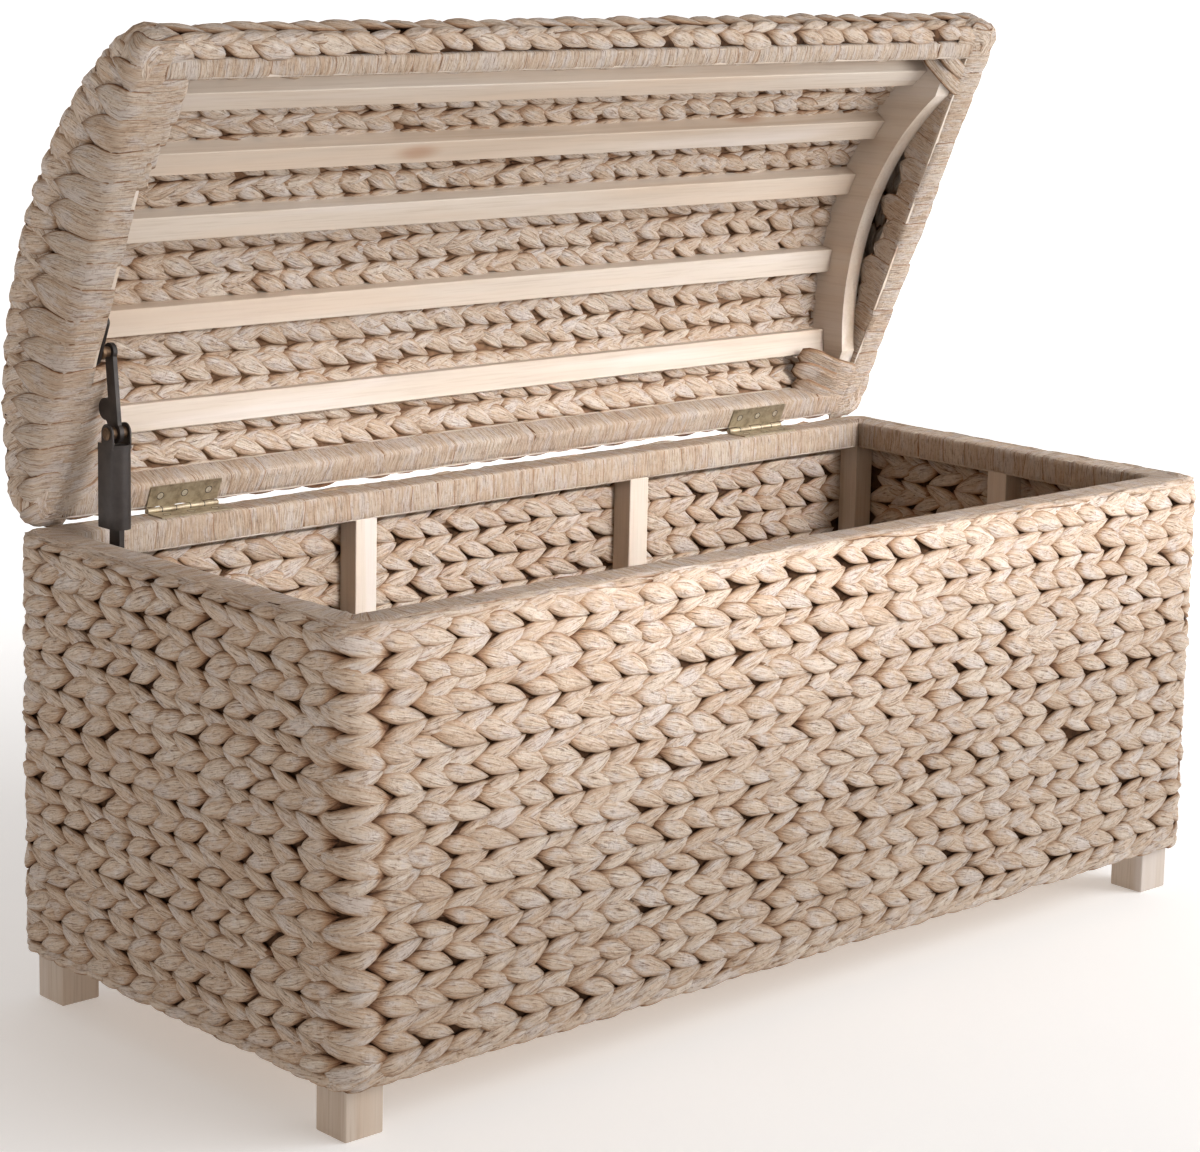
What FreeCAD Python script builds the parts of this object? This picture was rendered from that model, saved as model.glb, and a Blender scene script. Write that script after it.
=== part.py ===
import FreeCAD, Part
import math
import os
import Sketcher

# Storage trunk of braided plant fibre on a wooden frame, with a domed lid
# that stands open on two butt hinges and one folding stay.
# Millimetres, +Z up, +X along the trunk, front towards -Y.

V = FreeCAD.Vector
doc = FreeCAD.newDocument("storage_trunk")

# ------------------------------------------------------------------ dimensions
table = [
    # body
    ("frame_length", 1037), ("frame_depth", 437), ("rim_height", 417),
    ("weave_thick", 15), ("weave_bottom", 45), ("weave_round", 12),
    ("leg_side", 38), ("leg_height", 70), ("leg_ease", 1.6),
    ("stock_width", 25), ("stock_depth", 24), ("stock_ease", 1.2),
    ("wrap_thick", 1.2), ("floor_thick", 5), ("notch_gap", 0.5),
    ("back_post_x", 174), ("front_post_x", 174), ("foot_offset", -15.4),
    # hinges
    ("hinge_y", 221), ("hinge_z", 420), ("hinge_x", 363), ("hinge_length", 76),
    ("leaf_width", 24), ("leaf_thick", 1.4), ("leaf_gap", 3.0), ("knuckle_radius", 2.75),
    ("pin_radius", 1.45), ("bore_radius", 1.5), ("knuckle_gap", 0.3),
    ("screw_head_radius", 3.2), ("screw_shank_radius", 1.6), ("screw_length", 14), ("screw_pitch", 26),
    # lid
    ("lid_open", 67), ("lid_length", 1052), ("lid_end_weave", 12), ("lid_end_rail", 22), ("lid_back", 6), ("lid_front", 461),
    ("dome_apex", 107), ("dome_radius", 390), ("lid_weave", 15), ("lid_lip", 20.8),
    ("front_rail", 16), ("rib_thick", 19), ("rib_depth", 49), ("rib_foot", 6), ("slat_width", 25), ("slat_thick", 22),
    ("slat_one", 395), ("slat_two", 318), ("slat_three", 245), ("slat_four", 152), ("slat_five", 65),
    # lid stay
    ("stay_x", 476), ("stay_y", 156), ("foot_pivot_z", 402), ("elbow_z", 507),
    ("tip_dy", 8), ("tip_dz", 69), ("arm_thick", 4), ("arm_width", 12), ("hub_radius", 9),
    ("eye_radius", 7.5), ("lobe_radius", 9.5), ("lobe_dy", 14), ("lobe_dz", 19),
    ("rivet_radius", 3.5), ("rivet_bore", 3.55), ("rivet_head", 5.5),
    ("housing_width", 19), ("housing_depth", 28), ("housing_low", 425), ("housing_high", 498),
    ("sheet_thick", 1.5), ("bar_width", 15), ("bar_thick", 5), ("plate_thick", 2.5),
]
sheet = doc.addObject("Spreadsheet::Sheet", "dims")
for row, (alias, value) in enumerate(table, 1):
    sheet.set("A%d" % row, alias)
    sheet.set("B%d" % row, str(value))
    sheet.setAlias("B%d" % row, alias)
doc.recompute()


class Dim:
    """A size that is known both as a number and as an expression on the sheet."""

    def __init__(self, num, text):
        self.num = float(num)
        self.text = text

    def __add__(self, o):
        o = size(o)
        return Dim(self.num + o.num, "(%s + %s)" % (self.text, o.text))

    def __radd__(self, o):
        return size(o) + self

    def __sub__(self, o):
        o = size(o)
        return Dim(self.num - o.num, "(%s - %s)" % (self.text, o.text))

    def __rsub__(self, o):
        return size(o) - self

    def __mul__(self, o):
        o = size(o)
        return Dim(self.num * o.num, "(%s * %s)" % (self.text, o.text))

    def __rmul__(self, o):
        return size(o) * self

    def __truediv__(self, o):
        o = size(o)
        return Dim(self.num / o.num, "(%s / %s)" % (self.text, o.text))

    def __neg__(self):
        return Dim(-self.num, "(0 - %s)" % self.text)


def size(o):
    return o if isinstance(o, Dim) else Dim(o, repr(float(o)))


def d(alias):
    return Dim(float(sheet.get(alias)), "dims." + alias)


def num(o):
    return o.num if isinstance(o, Dim) else float(o)


HERE = FreeCAD.Placement()
BODY = FreeCAD.Placement(V(0, num(d("foot_offset")), 0), FreeCAD.Rotation())
LID = BODY * FreeCAD.Placement(V(0, 0, 0), FreeCAD.Rotation(V(1, 0, 0), -num(d("lid_open"))),
                               V(0, num(d("hinge_y")), num(d("hinge_z"))))
ALONG_X = FreeCAD.Rotation(V(0, 1, 0), 90)
nodes = []


def node(label, obj):
    obj.Label = label
    nodes.append((label, obj))
    return obj


def at(x, y, z, frame=HERE, rot=None):
    return frame * FreeCAD.Placement(V(num(x), num(y), num(z)), rot or FreeCAD.Rotation())


def box(name, lx, ly, lz, x=0, y=0, z=0, frame=HERE, rot=None):
    o = doc.addObject("Part::Box", name)
    for prop, e in (("Length", lx), ("Width", ly), ("Height", lz)):
        o.setExpression(prop, size(e).text)
    o.Placement = at(x, y, z, frame, rot)
    return o


def rod(name, radius, length, x, y, z, rot=ALONG_X, frame=HERE):
    o = doc.addObject("Part::Cylinder", name)
    o.setExpression("Radius", size(radius).text)
    o.setExpression("Height", size(length).text)
    o.Placement = at(x, y, z, frame, rot)
    return o


def cone(name, r_from, r_to, length, x, y, z, rot, frame=HERE):
    o = doc.addObject("Part::Cone", name)
    o.setExpression("Radius1", size(r_from).text)
    o.setExpression("Radius2", size(r_to).text)
    o.setExpression("Height", size(length).text)
    o.Placement = at(x, y, z, frame, rot)
    return o


def fuse(name, parts, frame=HERE):
    o = doc.addObject("Part::MultiFuse", name)
    o.Shapes = parts
    o.Refine = True
    o.Placement = frame
    return o


def cut(name, base, tools, frame=HERE):
    tool = tools[0] if len(tools) == 1 else fuse(name + "_tools", tools)
    o = doc.addObject("Part::Cut", name)
    o.Base = base
    o.Tool = tool
    o.Refine = True
    o.Placement = frame
    return o


def group(name, parts):
    o = doc.addObject("Part::Compound", name)
    o.Links = parts
    return o


def eased(name, base, radius, placement):
    """A sawn piece with every edge of its block taken off."""
    doc.recompute()
    o = doc.addObject("Part::Fillet", name)
    o.Base = base
    o.Edges = [(i, num(radius), num(radius)) for i in range(1, 13)]
    o.Placement = placement
    return o


def block(name, lx, ly, lz, ease, x, y, z, frame=BODY, rot=None):
    return eased(name, box(name + "_block", lx, ly, lz), ease, at(x, y, z, frame, rot))


def section(name, points, length, x, frame, arcs=None):
    """A straight run of one cross-section: a sketch in the YZ plane, padded along +X.
    points are (y, z) corners in order; arcs maps a corner's index to (centre y, centre z,
    radius, turns_left) for the edge that leaves it."""
    arcs = arcs or {}
    body = doc.addObject("PartDesign::Body", name)
    sk = body.newObject("Sketcher::SketchObject", name + "_section")
    plane = [f for f in body.Origin.OriginFeatures if f.Role == "YZ_Plane"][0]
    sk.AttachmentSupport = [(plane, "")]
    sk.MapMode = "FlatFace"
    n = len(points)
    ends = []
    for i in range(n):
        p, q = points[i], points[(i + 1) % n]
        a, b = V(num(p[0]), num(p[1]), 0), V(num(q[0]), num(q[1]), 0)
        if i in arcs:
            cy, cz, r, left = arcs[i]
            c = V(num(cy), num(cz), 0)
            first, last = (a, b) if left else (b, a)
            t0 = math.atan2(first.y - c.y, first.x - c.x)
            t1 = math.atan2(last.y - c.y, last.x - c.x)
            if t1 < t0:
                t1 += 2 * math.pi
            g = sk.addGeometry(Part.ArcOfCircle(Part.Circle(c, V(0, 0, 1), num(r)), t0, t1), False)
            ends.append((g, 1, 2) if left else (g, 2, 1))
        else:
            g = sk.addGeometry(Part.LineSegment(a, b), False)
            ends.append((g, 1, 2))
    for i in range(n):
        g, _, e = ends[i]
        g2, s2, _ = ends[(i + 1) % n]
        sk.addConstraint(Sketcher.Constraint("Coincident", g, e, g2, s2))
    for i, (py, pz) in enumerate(points):
        g, s, _ = ends[i]
        for kind, axis, c in (("DistanceX", -2, py), ("DistanceY", -1, pz)):
            if abs(num(c)) < 1e-9:
                sk.addConstraint(Sketcher.Constraint("PointOnObject", g, s, axis))
            else:
                k = sk.addConstraint(Sketcher.Constraint(kind, -1, 1, g, s, num(c)))
                if isinstance(c, Dim):
                    sk.setExpression("Constraints[%d]" % k, c.text)
    for i, (cy, cz, r, left) in arcs.items():
        k = sk.addConstraint(Sketcher.Constraint("Radius", ends[i][0], num(r)))
        if isinstance(r, Dim):
            sk.setExpression("Constraints[%d]" % k, r.text)
    pad = body.newObject("PartDesign::Pad", name + "_pad")
    pad.Profile = sk
    pad.setExpression("Length", size(length).text)
    body.Placement = at(x, 0, 0, frame)
    return body


# --------------------------------------------------------------------- the body
fl, fd = d("frame_length"), d("frame_depth")
hx, hy = fl / 2, fd / 2
sw, sd, wrap = d("stock_width"), d("stock_depth"), d("wrap_thick")
leg, leg_h = d("leg_side"), d("leg_height")
low = d("weave_bottom")
rail_top = d("rim_height") - wrap
rail_low = rail_top - sw
wv = d("weave_thick")
SIDES = (("left", -1), ("right", 1))
DEPTHS = (("front", -1), ("back", 1))

# feet: square blocks whose tops carry the corner posts
for depth_name, sy in DEPTHS:
    for side_name, sx in SIDES:
        x = -hx if sx < 0 else hx - leg
        y = -hy if sy < 0 else hy - leg
        node("leg_%s_%s" % (depth_name, side_name),
             block("leg_%s_%s" % (depth_name, side_name), leg, leg, leg_h, d("leg_ease"), x, y, 0))

# corner posts, from the feet up to the top rails
posts = []
for sy in (-1, 1):
    for sx in (-1, 1):
        x = -hx if sx < 0 else hx - sw
        y = -hy if sy < 0 else hy - sd
        posts.append(block("corner_post_%d" % len(posts), sw, sd, rail_low - leg_h, d("stock_ease"), x, y, leg_h))
node("corner_posts", group("corner_posts", posts))

# rails: the top ones sit inside the wound rim, the bottom ones carry the floor panel
node("top_rail_front", box("top_rail_front", fl, sd, sw, -hx, -hy, rail_low, BODY))
node("top_rail_back", box("top_rail_back", fl, sd, sw, -hx, hy - sd, rail_low, BODY))
end_run = fd - 2 * sd - 2 * wrap
for side_name, sx in SIDES:
    node("top_rail_" + side_name,
         box("top_rail_" + side_name, sd, end_run, sw, -hx if sx < 0 else hx - sd, -end_run / 2, rail_low, BODY))
for depth_name, sy in DEPTHS:
    node("bottom_rail_" + depth_name,
         block("bottom_rail_" + depth_name, fl - 2 * leg, sd, leg_h - low, d("stock_ease"),
               -hx + leg, -hy if sy < 0 else hy - sd, low))
for side_name, sx in SIDES:
    node("bottom_rail_" + side_name,
         block("bottom_rail_" + side_name, sd, fd - 2 * leg, leg_h - low, d("stock_ease"),
               -hx if sx < 0 else hx - sd, -hy + leg, low))

# wall posts between the bottom and the top rails
post_run = rail_low - leg_h
posts = []
for sy, px in ((-1, d("front_post_x")), (1, d("back_post_x"))):
    for sx in (-1, 1):
        posts.append(block("wall_post_%d" % len(posts), sw, sd, post_run, d("stock_ease"),
                           sx * px - sw / 2, -hy if sy < 0 else hy - sd, leg_h))
node("wall_posts", group("wall_posts", posts))
posts = []
for sx in (-1, 1):
    posts.append(block("end_post_%d" % len(posts), sd, sw, post_run, d("stock_ease"),
                       -hx if sx < 0 else hx - sd, -sw / 2, leg_h))
node("end_posts", group("end_posts", posts))

# floor panel, notched round every post
gap = d("notch_gap")
panel = box("floor_sheet", fl, fd, d("floor_thick"), -hx, -hy, leg_h)
notches = []
for sy in (-1, 1):
    for sx in (-1, 1):
        notches.append(box("notch_corner_%d" % len(notches), sw + gap, sd + gap, 30,
                           -hx if sx < 0 else hx - sw - gap, -hy if sy < 0 else hy - sd - gap, leg_h - 10))
for sy, px in ((-1, d("front_post_x")), (1, d("back_post_x"))):
    for sx in (-1, 1):
        notches.append(box("notch_wall_%d" % len(notches), sw + 2 * gap, sd + gap, 30,
                           sx * px - sw / 2 - gap, -hy if sy < 0 else hy - sd - gap, leg_h - 10))
for sx in (-1, 1):
    notches.append(box("notch_end_%d" % len(notches), sd + gap, sw + 2 * gap, 30,
                       -hx if sx < 0 else hx - sd - gap, -sw / 2 - gap, leg_h - 10))
node("floor_panel", cut("floor_panel", panel, notches, BODY))

# braided walls: front and back run the whole length, the ends fit between them
wall_h = rail_top - low


def wall(name, lx, ly, x, y):
    return box(name, lx, ly, wall_h, x, y, low, BODY)


outer = fl + 2 * wv
for depth_name, sy in DEPTHS:
    base = box("weave_%s_slab" % depth_name, outer, wv, wall_h)
    doc.recompute()
    o = doc.addObject("Part::Fillet", "weave_" + depth_name)
    o.Base = base
    # the two upright outer edges are rounded where the rows turn the corner
    y_out = 0.0 if sy < 0 else num(wv)
    pick = []
    for i, e in enumerate(base.Shape.Edges, 1):
        a, b = e.Vertexes[0].Point, e.Vertexes[1].Point
        if abs(a.z - b.z) > 1 and abs(a.y - y_out) < 1e-6:
            pick.append((i, num(d("weave_round")), num(d("weave_round"))))
    o.Edges = pick
    o.Placement = at(-outer / 2, -hy - wv if sy < 0 else hy, low, BODY)
    node("weave_" + depth_name, o)
for side_name, sx in SIDES:
    node("weave_" + side_name, wall("weave_" + side_name, wv, fd, -hx - wv if sx < 0 else hx, -hy))

# wound rim: leaf strip over the rail's inner face, its top with the wall's edge, and its underside
top_z = d("rim_height")
reach = hy + wv - 1.5
inner_y = hy - sd - wrap
rim = []
for sy in (-1, 1):
    pts = [(sy * inner_y, rail_low - wrap), (sy * inner_y, top_z), (sy * reach, top_z), (sy * reach, rail_top),
           (sy * (hy - sd), rail_top), (sy * (hy - sd), rail_low - 0.02), (sy * (hy - 0.5), rail_low - 0.02),
           (sy * (hy - 0.5), rail_low - wrap)]
    run = fl + 2 * wv - 3
    rim.append(section("rim_wrap_%s" % ("front" if sy < 0 else "back"), pts, run, -run / 2, BODY))
doc.recompute()
# the wound underside leaves room for the posts that stand under the rails
clear = []
for sy, px in ((-1, d("front_post_x")), (1, d("back_post_x"))):
    tools = [box("wrap_notch_%d_%d" % (sy, sx), sw + 1, 80, wrap + 0.4, sx * px - sw / 2 - 0.5,
                 -hy - 40 if sy < 0 else hy - 40, rail_low - wrap - 0.2) for sx in (-1, 1)]
    tools += [box("wrap_end_%d_%d" % (sy, sx), sw + wv + 5, 80, wrap + 0.4,
                  -hx - wv - 4 if sx < 0 else hx - sw - 1, -hy - 40 if sy < 0 else hy - 40,
                  rail_low - wrap - 0.2) for sx in (-1, 1)]
    # beyond the frame's ends only the strip on the rim's top goes on, over the end walls
    tools += [box("wrap_tail_%d_%d" % (sy, sx), wv + 5, 80, rail_top - rail_low + wrap + 0.2,
                  -hx - wv - 5 if sx < 0 else hx, -hy - 40 if sy < 0 else hy - 40,
                  rail_low - wrap - 0.2) for sx in (-1, 1)]
    plain = rim[0 if sy < 0 else 1]
    plain.Placement = at(-(fl + 2 * wv - 3) / 2, 0, 0)
    clear.append(cut("rim_wound_%s" % ("front" if sy < 0 else "back"), plain, tools, BODY))
inner_x = hx - sd - wrap
for sx in (-1, 1):
    side = "left" if sx < 0 else "right"
    # the same strip on the ends, built flat and turned a quarter round
    skin = box("rim_%s_skin" % side, wrap, end_run, sw + 2 * wrap, 0, 0, 0)
    skin.Placement = at(sx * (hx - sd) - (0 if sx < 0 else wrap) if sx > 0 else -(hx - sd), -end_run / 2, rail_low - wrap)
    top = box("rim_%s_top" % side, sd + wv - 1.5 + wrap, end_run, wrap)
    top.Placement = at(-(hx + wv - 1.5) if sx < 0 else hx - sd - wrap, -end_run / 2, rail_top)
    under = box("rim_%s_under" % side, sd - 0.5 + wrap, end_run, wrap - 0.02)
    under.Placement = at(-(hx - 0.5) if sx < 0 else hx - sd - wrap, -end_run / 2, rail_low - wrap)
    post_room = box("rim_%s_room" % side, sd + 20, sw + 1, wrap + 0.4,
                    -hx - 10 if sx < 0 else hx - sd - 10, -sw / 2 - 0.5, rail_low - wrap - 0.2)
    clear.append(cut("rim_wound_" + side, fuse("rim_%s_strip" % side, [skin, top, under]), [post_room], BODY))
node("rim_wrap", group("rim_wrap", clear))

# ---------------------------------------------------------------------- the lid
# The lid is laid out shut: back(v) is a distance forward of the hinge axis, up(h) a height above its rim plane.
hinge_y, hinge_z, lift = d("hinge_y"), d("hinge_z"), d("leaf_gap")


def back(v):
    return hinge_y - v


def up(h):
    return hinge_z + lift + h


lb, lf = -d("lid_back"), d("lid_front")
mid_v = (lf + lb) / 2
apex, radius, lw = d("dome_apex"), d("dome_radius"), d("lid_weave")
centre_h = apex - radius
lid_x = d("lid_length") / 2
end_weave, end_rail = d("lid_end_weave"), d("lid_end_rail")
frame_x = lid_x - end_weave


def arc_h(r, v):
    """Height of an arc about the dome's centre at a distance v from the hinge axis."""
    return num(centre_h) + math.sqrt(num(r) ** 2 - (num(v) - num(mid_v)) ** 2)


c_dome = (num(back(mid_v)), num(up(centre_h)))
inner_r = radius - lw
rail_v0 = wrap                                # back rail
rail_v1 = wrap + sd
back_edge = rail_v1 + wrap
front_v1 = lf - d("lid_lip") - wrap           # front rail
front_v0 = front_v1 - d("front_rail")
front_edge = front_v0 - wrap
lid_run = 2 * frame_x

node("lid_rail_back", box("lid_rail_back", lid_run, sd, sw, -frame_x, back(rail_v1), up(wrap), LID))
node("lid_rail_front", box("lid_rail_front", lid_run, d("front_rail"), sw, -frame_x, back(front_v1), up(wrap), LID))
end_v = front_edge - back_edge
for side_name, sx in SIDES:
    x = -(frame_x - wrap) if sx < 0 else frame_x - wrap - end_rail
    node("lid_rail_" + side_name, box("lid_rail_" + side_name, end_rail, end_v, sw, x, back(front_edge), up(wrap), LID))


def ring(name, v0, v1, h0, h1, t, length, x):
    """A wound strip round a rail: a closed sleeve of the strip's thickness."""
    out = box(name + "_out", length, v1 - v0, h1 - h0, x, back(v1), up(h0))
    core = box(name + "_core", length + 4, v1 - v0 - 2 * t, h1 - h0 - 2 * t, x - 2, back(v1 - t), up(h0 + t))
    return cut(name, out, [core], LID)


wraps = [ring("lid_wrap_back", 0 * wrap, back_edge, 0 * wrap, sw + 2 * wrap, wrap, lid_run, -frame_x),
         ring("lid_wrap_front", front_edge, front_v1 + wrap, 0 * wrap, sw + 2 * wrap, wrap, lid_run, -frame_x)]
for side_name, sx in SIDES:
    x0 = -frame_x if sx < 0 else frame_x - end_rail - 2 * wrap
    out = box("lid_wrap_%s_out" % side_name, end_rail + 2 * wrap, end_v, sw + 2 * wrap, x0, back(front_edge), up(0 * wrap))
    core = box("lid_wrap_%s_core" % side_name, end_rail, end_v + 4, sw, x0 + wrap, back(front_edge) - 2, up(wrap))
    wraps.append(cut("lid_wrap_" + side_name, out, [core], LID))
node("lid_rim_wrap", group("lid_rim_wrap", wraps))

# curved end ribs and the slats between them
rib_r = inner_r - 0.3
rib_low_r = rib_r - d("rib_depth")
rib_inner = frame_x - end_rail - 2 * wrap - 0.6
v0, v1 = back_edge + 0.7, front_edge - 0.7
foot = d("rib_foot")
half_bow = math.sqrt(num(rib_low_r) ** 2 - (num(foot) - num(centre_h)) ** 2)
bow_v0, bow_v1 = num(mid_v) - half_bow, num(mid_v) + half_bow
for side_name, sx in SIDES:
    pts = [(num(back(v0)), num(up(foot))), (num(back(v0)), num(up(arc_h(rib_r, v0)))),
           (num(back(v1)), num(up(arc_h(rib_r, v1)))), (num(back(v1)), num(up(foot))),
           (num(back(bow_v1)), num(up(foot))), (num(back(bow_v0)), num(up(foot)))]
    x = -rib_inner if sx < 0 else rib_inner - d("rib_thick")
    node("lid_rib_" + side_name,
         section("lid_rib_" + side_name, pts, d("rib_thick"), x, LID,
                 {1: (c_dome[0], c_dome[1], rib_r, True), 4: (c_dome[0], c_dome[1], rib_low_r, False)}))

slat_x = rib_inner - d("rib_thick")
for n, alias in enumerate(("slat_one", "slat_two", "slat_three", "slat_four", "slat_five"), 1):
    turn = math.asin((num(d(alias)) - num(mid_v)) / num(rib_r))
    r_low = num(rib_r) - num(d("slat_thick")) - 0.25
    # corner of the slat, in the dome's section: along the tangent by half the width, in by the thickness
    cy = c_dome[0] - r_low * math.sin(turn) - num(d("slat_width")) / 2 * math.cos(turn)
    cz = c_dome[1] + r_low * math.cos(turn) - num(d("slat_width")) / 2 * math.sin(turn)
    rot = FreeCAD.Rotation(V(1, 0, 0), math.degrees(turn))
    node("lid_slat_%d" % n, block("lid_slat_%d" % n, 2 * slat_x, d("slat_width"), d("slat_thick"), d("stock_ease"),
                                  -slat_x, cy, cz, LID, rot))

# braided skin of the lid: dome, lips and ends
dv0, dv1 = back_edge + 0.4, front_edge - 0.4
pts = [(num(back(dv0)), num(up(arc_h(inner_r, dv0)))), (num(back(dv0)), num(up(arc_h(radius, dv0)))),
       (num(back(dv1)), num(up(arc_h(radius, dv1)))), (num(back(dv1)), num(up(arc_h(inner_r, dv1))))]
node("lid_weave_dome",
     section("lid_weave_dome", pts, lid_run, -frame_x, LID,
             {1: (c_dome[0], c_dome[1], radius, True), 3: (c_dome[0], c_dome[1], inner_r, False)}))
over = sw + 2 * wrap + 0.2
pts = [(num(back(lb)), num(up(8))), (num(back(-0.3)), num(up(3))), (num(back(-0.3)), num(up(over))),
       (num(back(dv0)), num(up(over))), (num(back(dv0)), num(up(arc_h(radius, dv0)))), (num(back(lb)), num(up(arc_h(radius, lb))))]
node("lid_weave_back",
     section("lid_weave_back", pts, lid_run, -frame_x, LID, {4: (c_dome[0], c_dome[1], radius, False)}))
lip = front_v1 + wrap + 0.2
pts = [(num(back(lf)), num(up(8))), (num(back(lf - 6)), num(up(2))), (num(back(lip)), num(up(2))), (num(back(lip)), num(up(over))),
       (num(back(dv1)), num(up(over))), (num(back(dv1)), num(up(arc_h(radius, dv1)))), (num(back(lf)), num(up(arc_h(radius, lf))))]
node("lid_weave_front",
     section("lid_weave_front", pts, lid_run, -frame_x, LID, {5: (c_dome[0], c_dome[1], radius, True)}))
pts = [(num(back(lb)), num(up(8))), (num(back(0.0)), num(up(2))), (num(back(lf - 6)), num(up(2))), (num(back(lf)), num(up(8))),
       (num(back(lf)), num(up(arc_h(radius, lf)))), (num(back(lb)), num(up(arc_h(radius, lb))))]
for side_name, sx in SIDES:
    node("lid_weave_" + side_name,
         section("lid_weave_" + side_name, pts, end_weave - 0.2, -lid_x if sx < 0 else frame_x + 0.2, LID,
                 {4: (c_dome[0], c_dome[1], radius, False)}))

# ------------------------------------------------------------------- the hinges
leaf_t, kr, br, kg = d("leaf_thick"), d("knuckle_radius"), d("bore_radius"), d("knuckle_gap")
hl = d("hinge_length")
fifth = hl / 5
lw_leaf = d("leaf_width")
hole_v = lw_leaf * 0.58
DOWN = FreeCAD.Rotation(V(1, 0, 0), 180)
UPWARD = FreeCAD.Rotation()
sh, ss = d("screw_head_radius"), d("screw_shank_radius")
screws = {"body": [], "lid": []}


def screw(name, x, y, z, rot, frame):
    """Countersunk cross-head wood screw: its flat head is at the given point, its point along +Z of rot."""
    head = cone(name + "_head", sh, ss, leaf_t, 0, 0, 0, UPWARD)
    shank = rod(name + "_shank", ss, d("screw_length") - 4, 0, 0, num(leaf_t) - 0.2, UPWARD)
    tip = cone(name + "_tip", ss, 0.3, 4, 0, 0, num(leaf_t) + num(d("screw_length")) - 4.4, UPWARD)
    slots = [box(name + "_slot_a", 3.6, 0.7, 0.8, -1.8, -0.35, -0.1), box(name + "_slot_b", 0.7, 3.6, 0.8, -0.35, -1.8, -0.1)]
    return cut(name, fuse(name + "_stock", [head, shank, tip]), slots, at(x, y, z, frame, rot))


for side_name, sx in SIDES:
    xc = sx * d("hinge_x")
    for which, frame, own in (("body", BODY, (0, 2, 4)), ("lid", LID, (1, 3))):
        tag = "hinge_leaf_%s_%s" % (which, side_name)
        z_plate = d("rim_height") if which == "body" else up(0) - leaf_t
        plate = box(tag + "_plate", hl, lw_leaf, leaf_t, xc - hl / 2, hinge_y - lw_leaf, z_plate)
        knuckles, rooms = [], []
        for i in range(5):
            x0 = xc - hl / 2 + i * fifth
            if i in own:
                lead = kg / 2 if i > 0 else 0
                trail = kg / 2 if i < 4 else 0
                knuckles.append(rod(tag + "_knuckle_%d" % i, kr, fifth - lead - trail, x0 + lead, hinge_y, hinge_z))
            else:
                rooms.append(box(tag + "_room_%d" % i, fifth + (kg if 0 < i < 4 else kg * 4), 9, 12,
                                 x0 - (kg / 2 if i > 0 else kg * 3.5), hinge_y - kr - 0.5, hinge_z - 6))
        bore = rod(tag + "_bore", br, hl + 10, xc - hl / 2 - 5, hinge_y, hinge_z)
        holes = []
        for k in (-1, 0, 1):
            hx_k = xc + k * d("screw_pitch")
            if which == "body":
                holes.append(cone(tag + "_sink_%d" % k, sh + 0.15, ss + 0.15, leaf_t, hx_k, hinge_y - hole_v, z_plate + leaf_t, DOWN))
                screws["body"].append(screw("screw_body_%s_%d" % (side_name, k), hx_k, hinge_y - hole_v, z_plate + leaf_t, DOWN, BODY))
            else:
                holes.append(cone(tag + "_sink_%d" % k, sh + 0.15, ss + 0.15, leaf_t, hx_k, hinge_y - hole_v, z_plate, UPWARD))
                screws["lid"].append(screw("screw_lid_%s_%d" % (side_name, k), hx_k, hinge_y - hole_v, z_plate, UPWARD, LID))
        node(tag, cut(tag, fuse(tag + "_blank", [plate] + knuckles), rooms + [bore] + holes, frame))
    pin_r = d("pin_radius")
    pin = rod("pin_%s_shaft" % side_name, pin_r, hl + 1.6, xc - hl / 2 - 0.8, hinge_y, hinge_z)
    caps = [cone("pin_%s_cap_a" % side_name, pin_r + 0.6, 0.8, 1.0, xc + hl / 2 + 0.7, hinge_y, hinge_z, ALONG_X),
            cone("pin_%s_cap_b" % side_name, 0.8, pin_r + 0.6, 1.0, xc - hl / 2 - 1.7, hinge_y, hinge_z, ALONG_X)]
    node("hinge_pin_" + side_name, fuse("hinge_pin_" + side_name, [pin] + caps, BODY))
node("hinge_screws_body", group("hinge_screws_body", screws["body"]))
node("hinge_screws_lid", group("hinge_screws_lid", screws["lid"]))

# --------------------------------------------------------------------- the stay
# A jointed stay on the left end. Its lower half turns on a stud fixed to the body's rim,
# its arm on the elbow rivet; the arm's tip lies beside the lid bracket's stud.
sx_c, sy_c = -d("stay_x"), d("stay_y")
pz, ez = d("foot_pivot_z"), d("elbow_z")
rr, rb, rh = d("rivet_radius"), d("rivet_bore"), d("rivet_head")
wall_x = -(hx - sd - wrap)
plate_t = d("plate_thick")
bar_t, bar_w = d("bar_thick"), d("bar_width")

# bracket plate on the wound rim, with its stud
b_plate = box("stay_plate", plate_t, 40, 21, wall_x, sy_c - 20, pz - 10.5)
doc.recompute()
b_round = doc.addObject("Part::Fillet", "stay_plate_round")
b_round.Base = b_plate
b_round.Edges = [(i, 6.0, 6.0) for i, e in enumerate(b_plate.Shape.Edges, 1)
                 if abs(e.Vertexes[0].Point.x - e.Vertexes[1].Point.x) > 1]
holes = [rod("stay_plate_hole_%d" % k, 2.1, plate_t + 4, wall_x - 2, sy_c + k * 13, pz) for k in (-1, 1)]
node("stay_body_bracket", cut("stay_body_bracket", b_round, holes, BODY))
stud_x = wall_x + plate_t
shoulder_end = sx_c - bar_t / 2 - 0.4
head_x = sx_c + bar_t / 2 + 0.4
node("stay_body_stud", fuse("stay_body_stud", [
    rod("stud_shoulder", 5.2, shoulder_end - stud_x, stud_x, sy_c, pz),
    rod("stud_journal", rr, head_x - shoulder_end + 1, shoulder_end - 0.5, sy_c, pz),
    rod("stud_head", rh, 1.6, head_x, sy_c, pz),
    cone("stud_crown", rh, rh - 2.2, 0.9, head_x + 1.6, sy_c, pz, ALONG_X)], BODY))

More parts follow.
